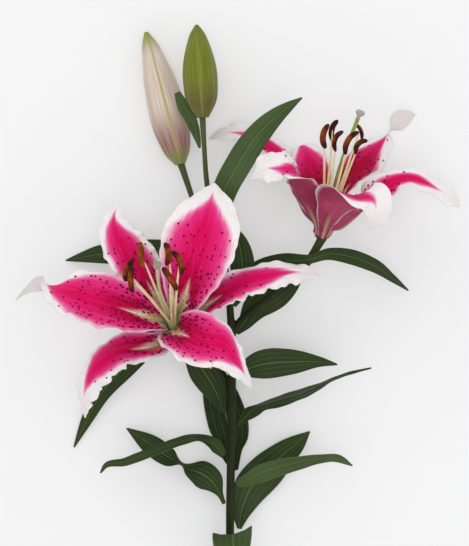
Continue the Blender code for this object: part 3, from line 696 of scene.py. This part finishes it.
SIDE_TEPALS = {
    "side_petal_front": (PETAL_RING, 210, [
        (55, 283.5, 56, 9, 15, 45), (51, 291, 60, 12.5, 20, 45), (47, 299, 65, 14.5, 20, 35),
        (44.5, 308, 69, 14.5, 0, 20), (40, 314.5, 71, 13, -45, 0), (31.5, 316, 69, 11, -85, 0),
        (22, 316, 64, 10, -85, 0), (13, 308.5, 58, 0.6, -85, 0),
    ]),
    "side_petal_back": (PETAL_RING, 90, [
        (60, 288, 40, 8, 0, 45), (57, 303, 29.5, 10.5, 0, 30), (54, 317, 20, 12, 0, 20),
        (50.5, 327, 12, 11, 0, 10), (47.5, 332, 6.6, 7.2, 0, 0), (44, 330.5, 2.8, 0.6, 0, 0),
    ]),
    "side_petal_right": (PETAL_RING, 330, [
        (72.5, 277.5, 55, 7, -10, 50), (80.5, 284, 57.5, 10.5, -5, 45), (88, 291.5, 60, 13, 20, 35),
        (94.5, 299, 60.5, 12, 55, 20), (102, 305.5, 59, 10, 80, 10), (110, 309.5, 58, 6.5, 80, 0),
        (120, 310, 56, 6.5, 80, -10), (131, 306, 52, 8.5, 80, -10), (142, 299.5, 47, 8, 80, -5),
        (147, 295.5, 44, 5.5, 80, 0), (150.5, 291, 42, 0.6, 80, 0),
    ]),
    "side_sepal_front": (SEPAL_RING, 270, [
        (62, 278, 66, 6, 0, 45), (65, 286, 74, 11, 0, 45), (69.5, 293, 83, 17, 0, 30),
        (77, 297, 92, 16.5, 20, 15), (85, 297, 100, 12, 60, 5), (92, 295, 104, 11, 90, 0),
        (94, 288, 103, 9.5, 100, 0), (92.5, 281, 97, 6.5, 100, 0), (90, 276, 89, 0.6, 100, 0),
    ]),
    "side_sepal_left": (SEPAL_RING, 150, [
        (49, 288, 40, 8, 0, 38), (44, 301, 32, 11, 0, 20), (41, 315, 26, 12, 0, 5),
        (33, 326.5, 24, 12, -10, 0), (22, 334.5, 24, 11, -20, 0), (11, 340, 23, 9, -30, 0),
        (1, 341.5, 20, 7.5, -30, 0), (-6.5, 340, 16, 6, -30, 0), (-14, 337, 12, 0.6, -30, 0),
    ]),
    "side_sepal_right": (SEPAL_RING, 30, [
        (70, 291.5, 40, 7.5, 0, 35), (78.5, 306.5, 36.5, 12, 0, 25), (87, 317.5, 33, 14.5, 20, 10),
        (95, 327, 30, 13, 20, 0), (101.5, 335, 28, 8, 10, 0), (105, 341, 26, 1.8, -35, 0),
        (109.5, 346.5, 25, 6, -110, 0), (115, 350.2, 23, 5.8, -120, 0), (119.5, 352, 21, 3.5, -120, 0),
        (122.5, 352.6, 20, 0.6, -120, 0),
    ]),
}
# The frill's size at the left and right edge, its waves along each and their phase. Then the share of the
# length at which the pink runs out, how far the pink sits to one side, and how much deeper it is.
LOOKS = {
    "front_petal_top": (0.9, 0.8, 6, 7, 0.3, 1.04, 0, -0.15),
    "front_petal_right": (0.9, 1.3, 5, 6, 1.0, 1.02, -0.06, -0.5),
    "front_petal_left": (1.2, 0.8, 7, 6, 2.2, 0.96, 0, 0.1),
    "front_sepal_right": (1.2, 1.7, 4, 8, 0.5, 1.02, 0, 0),
    "front_sepal_left": (1.7, 1.0, 7, 5, 1.6, 0.98, 0.12, 0),
    "front_sepal_top": (1.2, 1.0, 8, 7, 2.9, 1.08, -0.05, 0.3),
    "side_petal_front": (1.2, 1.3, 6, 6, 0.2, 0.9, -0.1, 0.2),
    "side_petal_back": (1.2, 1.0, 6, 5, 1.1, 1.1, 0, 1.1),
    "side_petal_right": (1.6, 1.8, 4, 5, 2.0, 1.02, 0.15, -1.6),
    "side_sepal_front": (1.0, 1.0, 4, 4, 0.9, 0.92, 0.15, 0.6),
    "side_sepal_left": (1.3, 1.4, 7, 7, 2.6, 1.04, -0.15, -0.6),
    "side_sepal_right": (0.8, 1.2, 6, 6, 3.4, 0.92, -0.12, 0.95),
}


def tepal_relief(frill):
    left_size, right_size, left_waves, right_waves, phase = frill[:5]

    def relief(u, v, half):
        """The nectar furrow and midrib, faint pleats, and the frilled margin."""
        far = u * half
        furrow = -1.0 * np.exp(-((far / 1.3) ** 2)) * np.clip((0.55 - v) / 0.4, 0, 1)
        lips = 0.7 * np.exp(-(((np.abs(far) - 2.3) / 0.9) ** 2))
        lips = lips * np.clip((0.3 - v) / 0.2, 0, 1) * np.clip(v / 0.05, 0, 1)
        midrib = -0.5 * np.exp(-((far / 1.8) ** 2)) * np.clip(v / 0.3, 0, 1) * np.clip((1 - v) / 0.1, 0, 1)
        pleats = 0.16 * np.cos(7 * math.pi * u) * np.clip(half / 10, 0, 1) * (1 - u * u)

        def frilled(waves, shift):
            s = 2 * math.pi * waves * v
            swell = np.sin(s + shift) + 0.55 * np.sin(1.73 * s + 2.3 * shift)
            return swell + 0.3 * np.sin(2.9 * s + 1.1 + shift)

        grow = np.clip((v - 0.18) / 0.25, 0, 1) * np.clip((1 - v) / 0.06, 0, 1) * np.clip(half / 8, 0, 1)
        wave, sway = (
            np.where(u > 0, right_size * frilled(right_waves, right), left_size * frilled(left_waves, left))
            for right, left in ((phase, phase + 1.9), (phase + 1.3, phase + 3.2))
        )
        edge = np.abs(u) ** 4 * wave * grow
        spread = np.abs(u) ** 3 * sway * grow * 0.35
        return furrow + lips + midrib + pleats + edge, spread

    return relief


# Where a tepal's face turns from crimson at its middle to white at its margin, with ragged, streaked borders.
# The furrow is green to cream with red dashes, in a pale halo. Half widths are in millimetres.
FURROW_END, FURROW_HALF, HALO_HALF = 0.39, 3.0, 11.0
petal, given, out = socket_group("petal_face", ["White", "Stripe"], ["Colour", "Height"])
spot = stored(petal, "blade")
place = stored(petal, "spread")
look = stored(petal, "look")
u_size = maths(petal, "ABSOLUTE", minus(petal, spot[0], look[1]))
v_share = spot[1]
drawn = {0: times(petal, spot[0], 9.0), 1: times(petal, v_share, 2.2), 2: spot[2]}
seeded = add(petal, "ShaderNodeCombineXYZ", drawn).outputs[0]
ragged_noise = {"Vector": seeded, "Scale": 2.6, "Detail": 4.0, "Roughness": 0.6}
streaks_and_sheen = add(petal, "ShaderNodeTexNoise", ragged_noise).outputs[0]
cloudy = noise(petal, here(petal), 90.0, 2.0)
ragged = plus(
    petal, times(petal, minus(petal, streaks_and_sheen, 0.5), 0.26), times(petal, minus(petal, cloudy, 0.5), 0.16)
)
tip_white = times(petal, fade(petal, minus(petal, v_share, look[0]), -0.44, 0.03), 1.1)
reach = plus(petal, plus(petal, u_size, ragged), tip_white)
margin = plus(petal, given.outputs["White"], fade(petal, v_share, 0.66, 0.34, 0.0, 0.13))
margin = plus(petal, margin, times(petal, look[2], 0.12))
past_margin = minus(petal, reach, margin)
to_white = fade(petal, past_margin, -0.14, 0.1)
to_stripe = fade(petal, minus(petal, reach, given.outputs["Stripe"]), -0.2, 0.34, 1.0, 0.0)
colour = blend(petal, to_stripe, (0.78, 0.026, 0.21, 1), (0.7, 0.0005, 0.095, 1))
deep = times(petal, fade(petal, v_share, 0.58, 0.2), fade(petal, u_size, 0.75, 0.35))
deep = maths(petal, "MAXIMUM", deep, times(petal, look[2], fade(petal, v_share, 0.85, 0.45)))
colour = blend(petal, deep, colour, (0.38, 0.0005, 0.026, 1))
# Lighter pink streaks on the face: partly the face's own streaked colour and partly painted sheen.
colour = blend(petal, times(petal, fade(petal, streaks_and_sheen, 0.48, 0.75), 0.28), colour, (0.84, 0.1, 0.32, 1))
pale = fade(petal, past_margin, -0.3, -0.02, 0.0, 0.7)
colour = blend(petal, pale, colour, (0.84, 0.25, 0.46, 1))
colour = blend(petal, to_white, colour, (0.9, 0.86, 0.85, 1))
width = times(petal, maths(petal, "ABSOLUTE", place[0]), 1000.0)
wedge = minus(petal, 1.0, maths(petal, "DIVIDE", v_share, FURROW_END, clamp=True))
in_wedge = fade(petal, minus(petal, width, times(petal, wedge, FURROW_HALF)), -0.4, 0.2, 1.0, 0.0)
in_halo = fade(petal, minus(petal, width, times(petal, wedge, HALO_HALF)), -4.0, 1.0, 1.0, 0.0)
has_wedge = fade(petal, v_share, FURROW_END, FURROW_END - 0.04)
halo = times(petal, times(petal, in_halo, has_wedge), fade(petal, cloudy, 0.35, 0.62, 0.4, 1.0))
colour = blend(petal, halo, colour, (0.86, 0.58, 0.6, 1))
furrow = blend(petal, fade(petal, v_share, 0.2, 0.32), (0.58, 0.63, 0.18, 1), (0.86, 0.76, 0.48, 1))
drawn = {0: times(petal, place[0], 160.0), 1: times(petal, place[1], 900.0), 2: spot[2]}
dashes = noise(petal, add(petal, "ShaderNodeCombineXYZ", drawn).outputs[0], 1.0, 1.0)
furrow = blend(petal, fade(petal, dashes, 0.57, 0.62, 0.0, 0.85), furrow, (0.22, 0.01, 0.02, 1))
colour = blend(petal, times(petal, in_wedge, has_wedge), colour, furrow)
colour = blend(petal, fade(petal, v_share, 0.17, 0.05), colour, (0.66, 0.7, 0.34, 1))
petal.links.new(colour, out.inputs["Colour"])
petal.links.new(streaks_and_sheen, out.inputs["Height"])

tepal_mats = {}
for kind, white, stripe in (("petal", 0.87, 0.34), ("sepal", 0.76, 0.3)):
    mat, tree, shader = new_material(kind + "_face", 0.5, 0.05)
    face = use(tree, petal, {"White": white, "Stripe": stripe})
    tiny = veined(tree, 17.0, 0.9)
    tones = mottled(tree, 60.0, 2200.0)
    strength = {0: times(tree, tiny["Vein"], 0.22), 6: face["Colour"], 7: (0.75, 0.45, 0.6, 1)}
    darker = add(tree, "ShaderNodeMix", strength, data_type="RGBA", blend_type="MULTIPLY").outputs[2]
    height = plus(tree, times(tree, tiny["Vein"], -0.8), times(tree, tones["Grain"], 0.5))
    dress(tree, shader, darker, plus(tree, height, face["Height"]), 0.35, 0.0004)
    tree.links.new(fade(tree, tones["Grain"], 0.3, 0.7, 0.34, 0.5), shader.inputs["Roughness"])
    back_mat, tree, shader = new_material(kind + "_back", 0.5, 0.1)
    lines = veined(tree, 13.0, 0.8)
    tones = mottled(tree, 55.0, 2000.0)
    colour = blend(tree, tones["Tone"], (0.24, 0.01, 0.05, 1), (0.4, 0.045, 0.12, 1))
    reach = plus(tree, lines["Across"], times(tree, fade(tree, lines["Along"], 0.5, 0.82), 1.1))
    colour = blend(tree, times(tree, lines["Vein"], 0.35), colour, (0.5, 0.17, 0.25, 1))
    colour = blend(tree, fade(tree, reach, 0.78, 1.08), colour, (0.72, 0.66, 0.65, 1))
    greenish = times(
        tree, fade(tree, lines["Across"], 0.02, 0.2, 0.8, 0.0), fade(tree, lines["Along"], 0.34, 0.06)
    )
    colour = blend(tree, greenish, colour, (0.42, 0.43, 0.22, 1))
    dress(tree, shader, colour, plus(tree, lines["Vein"], times(tree, tones["Grain"], 0.6)), 0.35, 0.0003)
    tepal_mats[kind] = [mat, back_mat]

spot_mat, tree, shader = new_material("pimples", 0.5, 0.08)
tones = mottled(tree, 300.0, 3000.0)
dots = blend(tree, tones["Tone"], (0.17, 0.0005, 0.035, 1), (0.28, 0.001, 0.06, 1))
tree.links.new(dots, shader.inputs["Base Color"])
# The shares of the length between which pimples grow, and of the half width that they reach.
PIMPLES_FROM, PIMPLES_TO, PIMPLES_WIDE = 0.13, 0.68, 0.84


def pimples(name, points, normal, half, length, chance, seed):
    """Dark raised dots on a tepal's face, closer and longer towards the throat."""
    dice = random.Random(seed)
    count, across = points.shape[0] - 1, points.shape[1] - 1
    bm = bmesh.new()
    v = PIMPLES_FROM
    while v < PIMPLES_TO:
        gap = (2.2 + 2.9 * v) / length
        v += gap
        j = int(v * count)
        wide = float(half[j][0])
        n = int(2 * wide * PIMPLES_WIDE / (1.9 + 3.0 * v))
        for k in range(n):
            u = (-1 + 2 * (k + 0.5 + dice.uniform(-0.38, 0.38)) / max(n, 1)) * PIMPLES_WIDE
            vv = v + dice.uniform(-0.45, 0.45) * gap
            furrow = 2.0 + 3 * max(0, 0.35 - vv)
            if abs(u) * wide < furrow or dice.random() > chance * (1.15 - 0.75 * max(0, vv - 0.25) / 0.43):
                continue
            jj = min(max(vv * count, 1), count - 2)
            ii = min(max((u + 1) / 2 * across, 1), across - 2)
            j0, i0 = int(jj), int(ii)
            at = Vector(points[j0][i0]).lerp(Vector(points[j0 + 1][i0 + 1]), 0.5)
            up = Vector(normal[j0][i0])
            way = Vector(points[j0 + 1][i0] - points[j0][i0]).normalized()
            across_way = up.cross(way).normalized()
            size = dice.uniform(0.7, 0.98) * (1.0 - 0.25 * vv)
            stretch = 1.25 + 1.1 * max(0, 0.4 - vv) / 0.25
            place = Matrix((across_way * size, way * size * stretch, up * size * 0.75)).transposed().to_4x4()
            place.translation = at + up * (0.4 - 0.3 * u * u)
            bmesh.ops.create_icosphere(bm, subdivisions=1, radius=1.0, matrix=place)
    finish_piece(name, bm, [], [spot_mat])


# How densely the pimples stand, for the tepals that differ from 0.7.
CHANCE = {
    "side_sepal_right": 1.0, "side_petal_back": 1.0, "side_sepal_left": 0.5, "front_petal_top": 0.72,
    "front_petal_right": 0.75, "front_petal_left": 0.8, "front_sepal_right": 0.45, "front_sepal_left": 0.4,
    "front_sepal_top": 0.85,
}
TEPAL_ACROSS, TEPAL_ALONG, TEPAL_THICKNESS = 48, 150, 0.8
for flower, table in ((front, FRONT_TEPALS), (side, SIDE_TEPALS)):
    for name, (ring, azimuth, rows) in table.items():
        foot = on_ring(flower, azimuth, ring, 0.4)
        claw = on_ring(flower, azimuth, ring + 1.3, 6.0)
        inward = on_ring(flower, azimuth, 0, 6.0) - claw
        start = [(*foot, 3.2, 0, 50), (*claw, 5.0, 0, 50)]
        relief = tepal_relief(LOOKS[name])
        points, normal, length, half = blade_surface(start + rows, inward, TEPAL_ACROSS, TEPAL_ALONG, relief)
        seed = len(name) + azimuth
        bm = blade_mesh(points, length, half, seed, LOOKS[name][5:])
        kind = "petal" if ring == PETAL_RING else "sepal"
        middle = normal[TEPAL_ALONG // 2][TEPAL_ACROSS // 2]
        thick_blade(name + "_skin", bm, middle, name, tepal_mats[kind], TEPAL_THICKNESS)
        pimples(name + "_pimples", points, normal, half, length, CHANCE.get(name, 0.7), seed)

# ---- stamens
# Six pale, tapering filaments around each ovary, each carrying a long anther hung by its middle. The anthers
# have split and show rust-orange pollen; their side toward the filament, the side in shadow, is painted dark
# brown as painted shade. An anther is its name, its filament's direction in degrees, its middle, heading,
# length and bow.
FILAMENT_RING, FILAMENT_RADIUS, ANTHER_RADIUS = 2.3, 0.75, 1.7
FRONT_ANTHERS = [
    ("left_upper", 160, (-57, 259.2, 90), (-0.1, 1, -0.2), 17, (0.5, 0, 1)),
    ("left_outer", 200, (-66.5, 248.5, 95), (0.34, 1, 0.2), 16, (3.2, 1.2, 0)),
    ("left_inner", 240, (-63.3, 243.8, 101), (0, 1, 0.1), 18, (1.5, 0, -1)),
    ("right_upper", 20, (-39, 259.8, 94), (-0.08, 1, 0.3), 15, (-2.4, 0, -1)),
    ("right_outer", 330, (-31.5, 255, 100), (-0.38, 1, 0.2), 16.5, (-2.6, -1.4, 0)),
    ("right_inner", 285, (-37.7, 244.2, 106), (-0.64, 1, 0.2), 17.5, (-0.6, -0.4, -1)),
]
SIDE_ANTHERS = [
    ("far_left", 165, (60.2, 336.3, 63), (0.12, 1, -0.1), 16, (3, 0, 0)),
    ("left", 225, (66.2, 341, 56), (0.22, 1, 0.2), 14.5, (2.6, -1, 0)),
    ("middle", 255, (67.8, 334.2, 72), (0.38, 1, 0.2), 14, (3, -1.7, 0)),
    ("right", 300, (75.8, 332.8, 76), (0.57, 1, 0.1), 17, (3, -1.6, 0)),
    ("far_right", 30, (85, 340.5, 60), (-0.45, 1, 0), 11, (-1.7, -1.3, 0)),
    ("near_right", 345, (83, 331.3, 69), (0.9, 1, 0.1), 11.5, (2.2, -2.6, 0)),
]

filament_mat, tree, shader = new_material("filament", 0.4, 0.4, 0.25, (1, 0.9, 0.5))
tones = mottled(tree, 120.0, 1500.0)
cream = blend(tree, tones["Tone"], (0.7, 0.66, 0.34, 1), (0.86, 0.76, 0.5, 1))
dress(tree, shader, cream, tones["Grain"], 0.2, 0.0002)

anther_mat, tree, shader = new_material("anther_pollen", 0.85, 0.15)
where = here(tree)
tones = mottled(tree, 260.0, 4000.0)
grains = add(tree, "ShaderNodeTexVoronoi", {"Vector": where, "Scale": 4200.0}).outputs["Distance"]
# Painted shade: the anther's side toward its filament, its shadow side, is painted dark brown, and the side
# away from the filament rust-orange.
away_from_filament = fade(tree, stored(tree, "blade")[0], 0.1, 0.7)
rust = blend(tree, tones["Tone"], (0.17, 0.028, 0.003, 1), (0.36, 0.075, 0.006, 1))
dark = blend(tree, tones["Tone"], (0.03, 0.005, 0.003, 1), (0.085, 0.016, 0.005, 1))
dress(tree, shader, blend(tree, away_from_filament, dark, rust), grains, 0.6, 0.0002)


def anther_mesh(middle, along, back, length, bow):
    """A bowed, two-lobed anther with a seam along its face."""
    rows = []
    ends = ((0.5, 0.25), (0.46, 0.62), (0.36, 0.92), (0.15, 1.05))
    for share, size in [(-share, size) for share, size in ends] + list(reversed(ends)):
        at = middle + along * (length * share) + Vector(bow) * (4 * share * share)
        rows.append((*at, size))
    values, heading, ups, _ = along_path(rows, 44, back)
    side_way = np.cross(heading, ups)
    turn = np.linspace(0, 2 * np.pi, 28, endpoint=False)
    seam = 0.3 * np.exp(-((np.sin((turn - np.pi) / 2) / 0.22) ** 2))
    crease = 0.18 * np.exp(-((np.sin(turn / 2) / 0.22) ** 2))
    lobes = 1 + 0.16 * np.cos(2 * turn + np.pi) - seam - crease
    size = ANTHER_RADIUS * values[:, 3][:, None] * lobes[None, :]
    ring = around(0.85 * ups, side_way, turn)
    bm = rolled(values[:, None, :3] + ring * size[:, :, None])
    blade = bm.verts.layers.float_vector.new("blade")
    for vert in bm.verts:
        vert[blade] = (-(vert.co - middle).dot(back) / ANTHER_RADIUS, 0, 0)
    return bm


for flower, prefix, table in ((front, "front", FRONT_ANTHERS), (side, "side", SIDE_ANTHERS)):
    for name, azimuth, middle, along, length, bow in table:
        middle = Vector(middle)
        along = Vector(along).normalized()
        foot = on_ring(flower, azimuth, FILAMENT_RING, 0.3)
        low = on_ring(flower, azimuth, FILAMENT_RING + 0.5, 14.0)
        back = (low - middle).normalized()
        back = (back - along * back.dot(along)).normalized()
        end = middle + back * (ANTHER_RADIUS * 0.5)
        reach = end.lerp(low, 0.45) + flower[1] * 3.0
        rows = [(*foot, 1.7), (*low, 1.4), (*reach, 1.0), (*end, 0.5)]
        filament, anther = prefix + "_filament_" + name, prefix + "_anther_" + name
        rod = round_rod(rows, FILAMENT_RADIUS, 16, 60)
        finish_piece(filament + "_skin", rod, [filament], [filament_mat])
        pollen = anther_mesh(middle, along, back, length, bow)
        finish_piece(anther + "_skin", pollen, [anther], [anther_mat])

# ---- pistils
# In the middle of each flower stands a ribbed green ovary with a long style, which ends in a swollen stigma
# of three lobes, velvety and grey with moisture.
FRONT_STIGMA, SIDE_STIGMA = (-46, 253, 122), (84, 351, 73)
FRONT_STYLE = ((0.5, 0.5, 0.26, 1), (0.56, 0.5, 0.36, 1))
FRONT_HEAD = ((0.22, 0.21, 0.13, 1), (0.37, 0.35, 0.26, 1))
SIDE_STYLE = ((0.2, 0.24, 0.04, 1), (0.3, 0.34, 0.08, 1))
SIDE_HEAD = ((0.36, 0.3, 0.26, 1), (0.5, 0.44, 0.4, 1))
for flower, name, stigma, bend, style_colours, head_colours in (
    (front, "front_pistil", FRONT_STIGMA, (-2.5, 0.0, 0.0), FRONT_STYLE, FRONT_HEAD),
    (side, "side_pistil", SIDE_STIGMA, (-2.0, 0.0, 1.0), SIDE_STYLE, SIDE_HEAD),
):
    stigma = Vector(stigma)
    foot = on_ring(flower, 0, 0.0, 0.3)
    ovary = on_ring(flower, 0, 0.0, 15.0)
    middle = ovary.lerp(stigma, 0.5) + Vector(bend)
    heading = (stigma - middle).normalized()
    rows = [(*foot, 1.0), (*on_ring(flower, 0, 0, 7.0), 1.35), (*ovary, 1.15), (*middle, 0.8)]
    rows += [(*(stigma - heading * 4), 1.0), (*(stigma - heading * 0.5), 1.5)]
    bm = round_rod(rows, 1.3, 30, 90, lobes=3, depth=0.10)
    head = bmesh.new()
    bmesh.ops.create_uvsphere(head, u_segments=48, v_segments=24, radius=1.0)
    for vert in head.verts:
        angle = math.atan2(vert.co.y, vert.co.x)
        flat = math.hypot(vert.co.x, vert.co.y)
        lobe = 1 + 0.2 * math.cos(3 * angle) * flat
        dent = 0.45 * (1 - flat) ** 1.5 + 0.35 * max(0.0, math.cos(3 * angle + math.pi)) ** 6 * flat
        low = dent * 1.4 if vert.co.z > 0 else 0
        vert.co = Vector((vert.co.x * lobe * 2.8, vert.co.y * lobe * 2.8, vert.co.z * 2.3 - low))
    turn = Vector((0, 0, 1)).rotation_difference(heading).to_matrix().to_4x4()
    head.transform(Matrix.Translation(stigma) @ turn)
    pour(head, bm)
    mat, tree, shader = new_material(name + "_skin", 0.45, 0.4, 0.1, (1, 0.8, 0.4))
    where = here(tree)
    tones = mottled(tree, 150.0, 2500.0)
    at = to_frame @ stigma
    away = add(tree, "ShaderNodeVectorMath", {0: where, 1: tuple(at)}, operation="DISTANCE").outputs["Value"]
    on_head = fade(tree, away, 0.003, 0.005, 1.0, 0.0)
    colour = blend(tree, tones["Tone"], *style_colours)
    colour = blend(tree, on_head, colour, blend(tree, tones["Grain"], *head_colours))
    velvet = add(tree, "ShaderNodeTexVoronoi", {"Vector": where, "Scale": 2600.0}).outputs["Distance"]
    height = times(tree, velvet, plus(tree, on_head, 0.15))
    dress(tree, shader, colour, height, 0.6, 0.0003)
    finish_piece(name + "_skin", bm, [name], [mat])

# ---- table, light and camera
# A plain white table top, wide soft light from above, and a camera that looks straight down on the plant.
floor_bm = bmesh.new()
bmesh.ops.create_grid(floor_bm, x_segments=1, y_segments=1, size=4.0)
floor_mesh = bpy.data.meshes.new("table")
floor_bm.to_mesh(floor_mesh)
floor_bm.free()
table_top = bpy.data.objects.new("table", floor_mesh)
bpy.context.scene.collection.objects.link(table_top)
mat, tree, shader = new_material("table_paint", 0.9, 0.1)
grain = add(tree, "ShaderNodeTexNoise", {"Vector": here(tree), "Scale": 3.0})
paint = blend(tree, grain.outputs[0], (0.6, 0.6, 0.6, 1), (0.62, 0.62, 0.615, 1))
tree.links.new(paint, shader.inputs["Base Color"])
shader.inputs["Emission Color"].default_value = (1.0, 1.0, 1.0, 1)
shader.inputs["Emission Strength"].default_value = 0.28
floor_mesh.materials.append(mat)

world = bpy.data.worlds.new("room")
world.use_nodes = True
world.node_tree.nodes["Background"].inputs[0].default_value = (0.98, 0.985, 1.0, 1)
world.node_tree.nodes["Background"].inputs[1].default_value = 0.79
bpy.context.scene.world = world
for name, place, size, power, aim in (
    ("top", (0.0, -0.15, 2.4), 1.2, 9.0, (0, -0.05, 0)),
    ("window", (-0.7, 1.3, 1.3), 1.2, 5.0, (0, 0.05, 0.03)),
    ("fill", (1.2, -0.6, 1.3), 1.2, 3.0, (0, 0, 0.03)),
):
    lamp = bpy.data.lights.new(name, "AREA")
    lamp.shape = "DISK"
    lamp.size = size
    lamp.energy = power
    holder = bpy.data.objects.new(name, lamp)
    holder.location = place
    holder.rotation_euler = (Vector(aim) - Vector(place)).to_track_quat("-Z", "Y").to_euler()
    bpy.context.scene.collection.objects.link(holder)

lens = bpy.data.cameras.new("camera")
lens.lens = 202.9
lens.sensor_width = 36.0
lens.clip_end = 50.0
camera = bpy.data.objects.new("camera", lens)
camera.location = to_frame @ Vector((2.9, 247.6, 2060))
camera.rotation_euler = (0, 0, 0)
bpy.context.scene.collection.objects.link(camera)
bpy.context.scene.camera = camera
bpy.context.scene.view_settings.view_transform = "Standard"
bpy.context.scene.view_settings.look = "None"
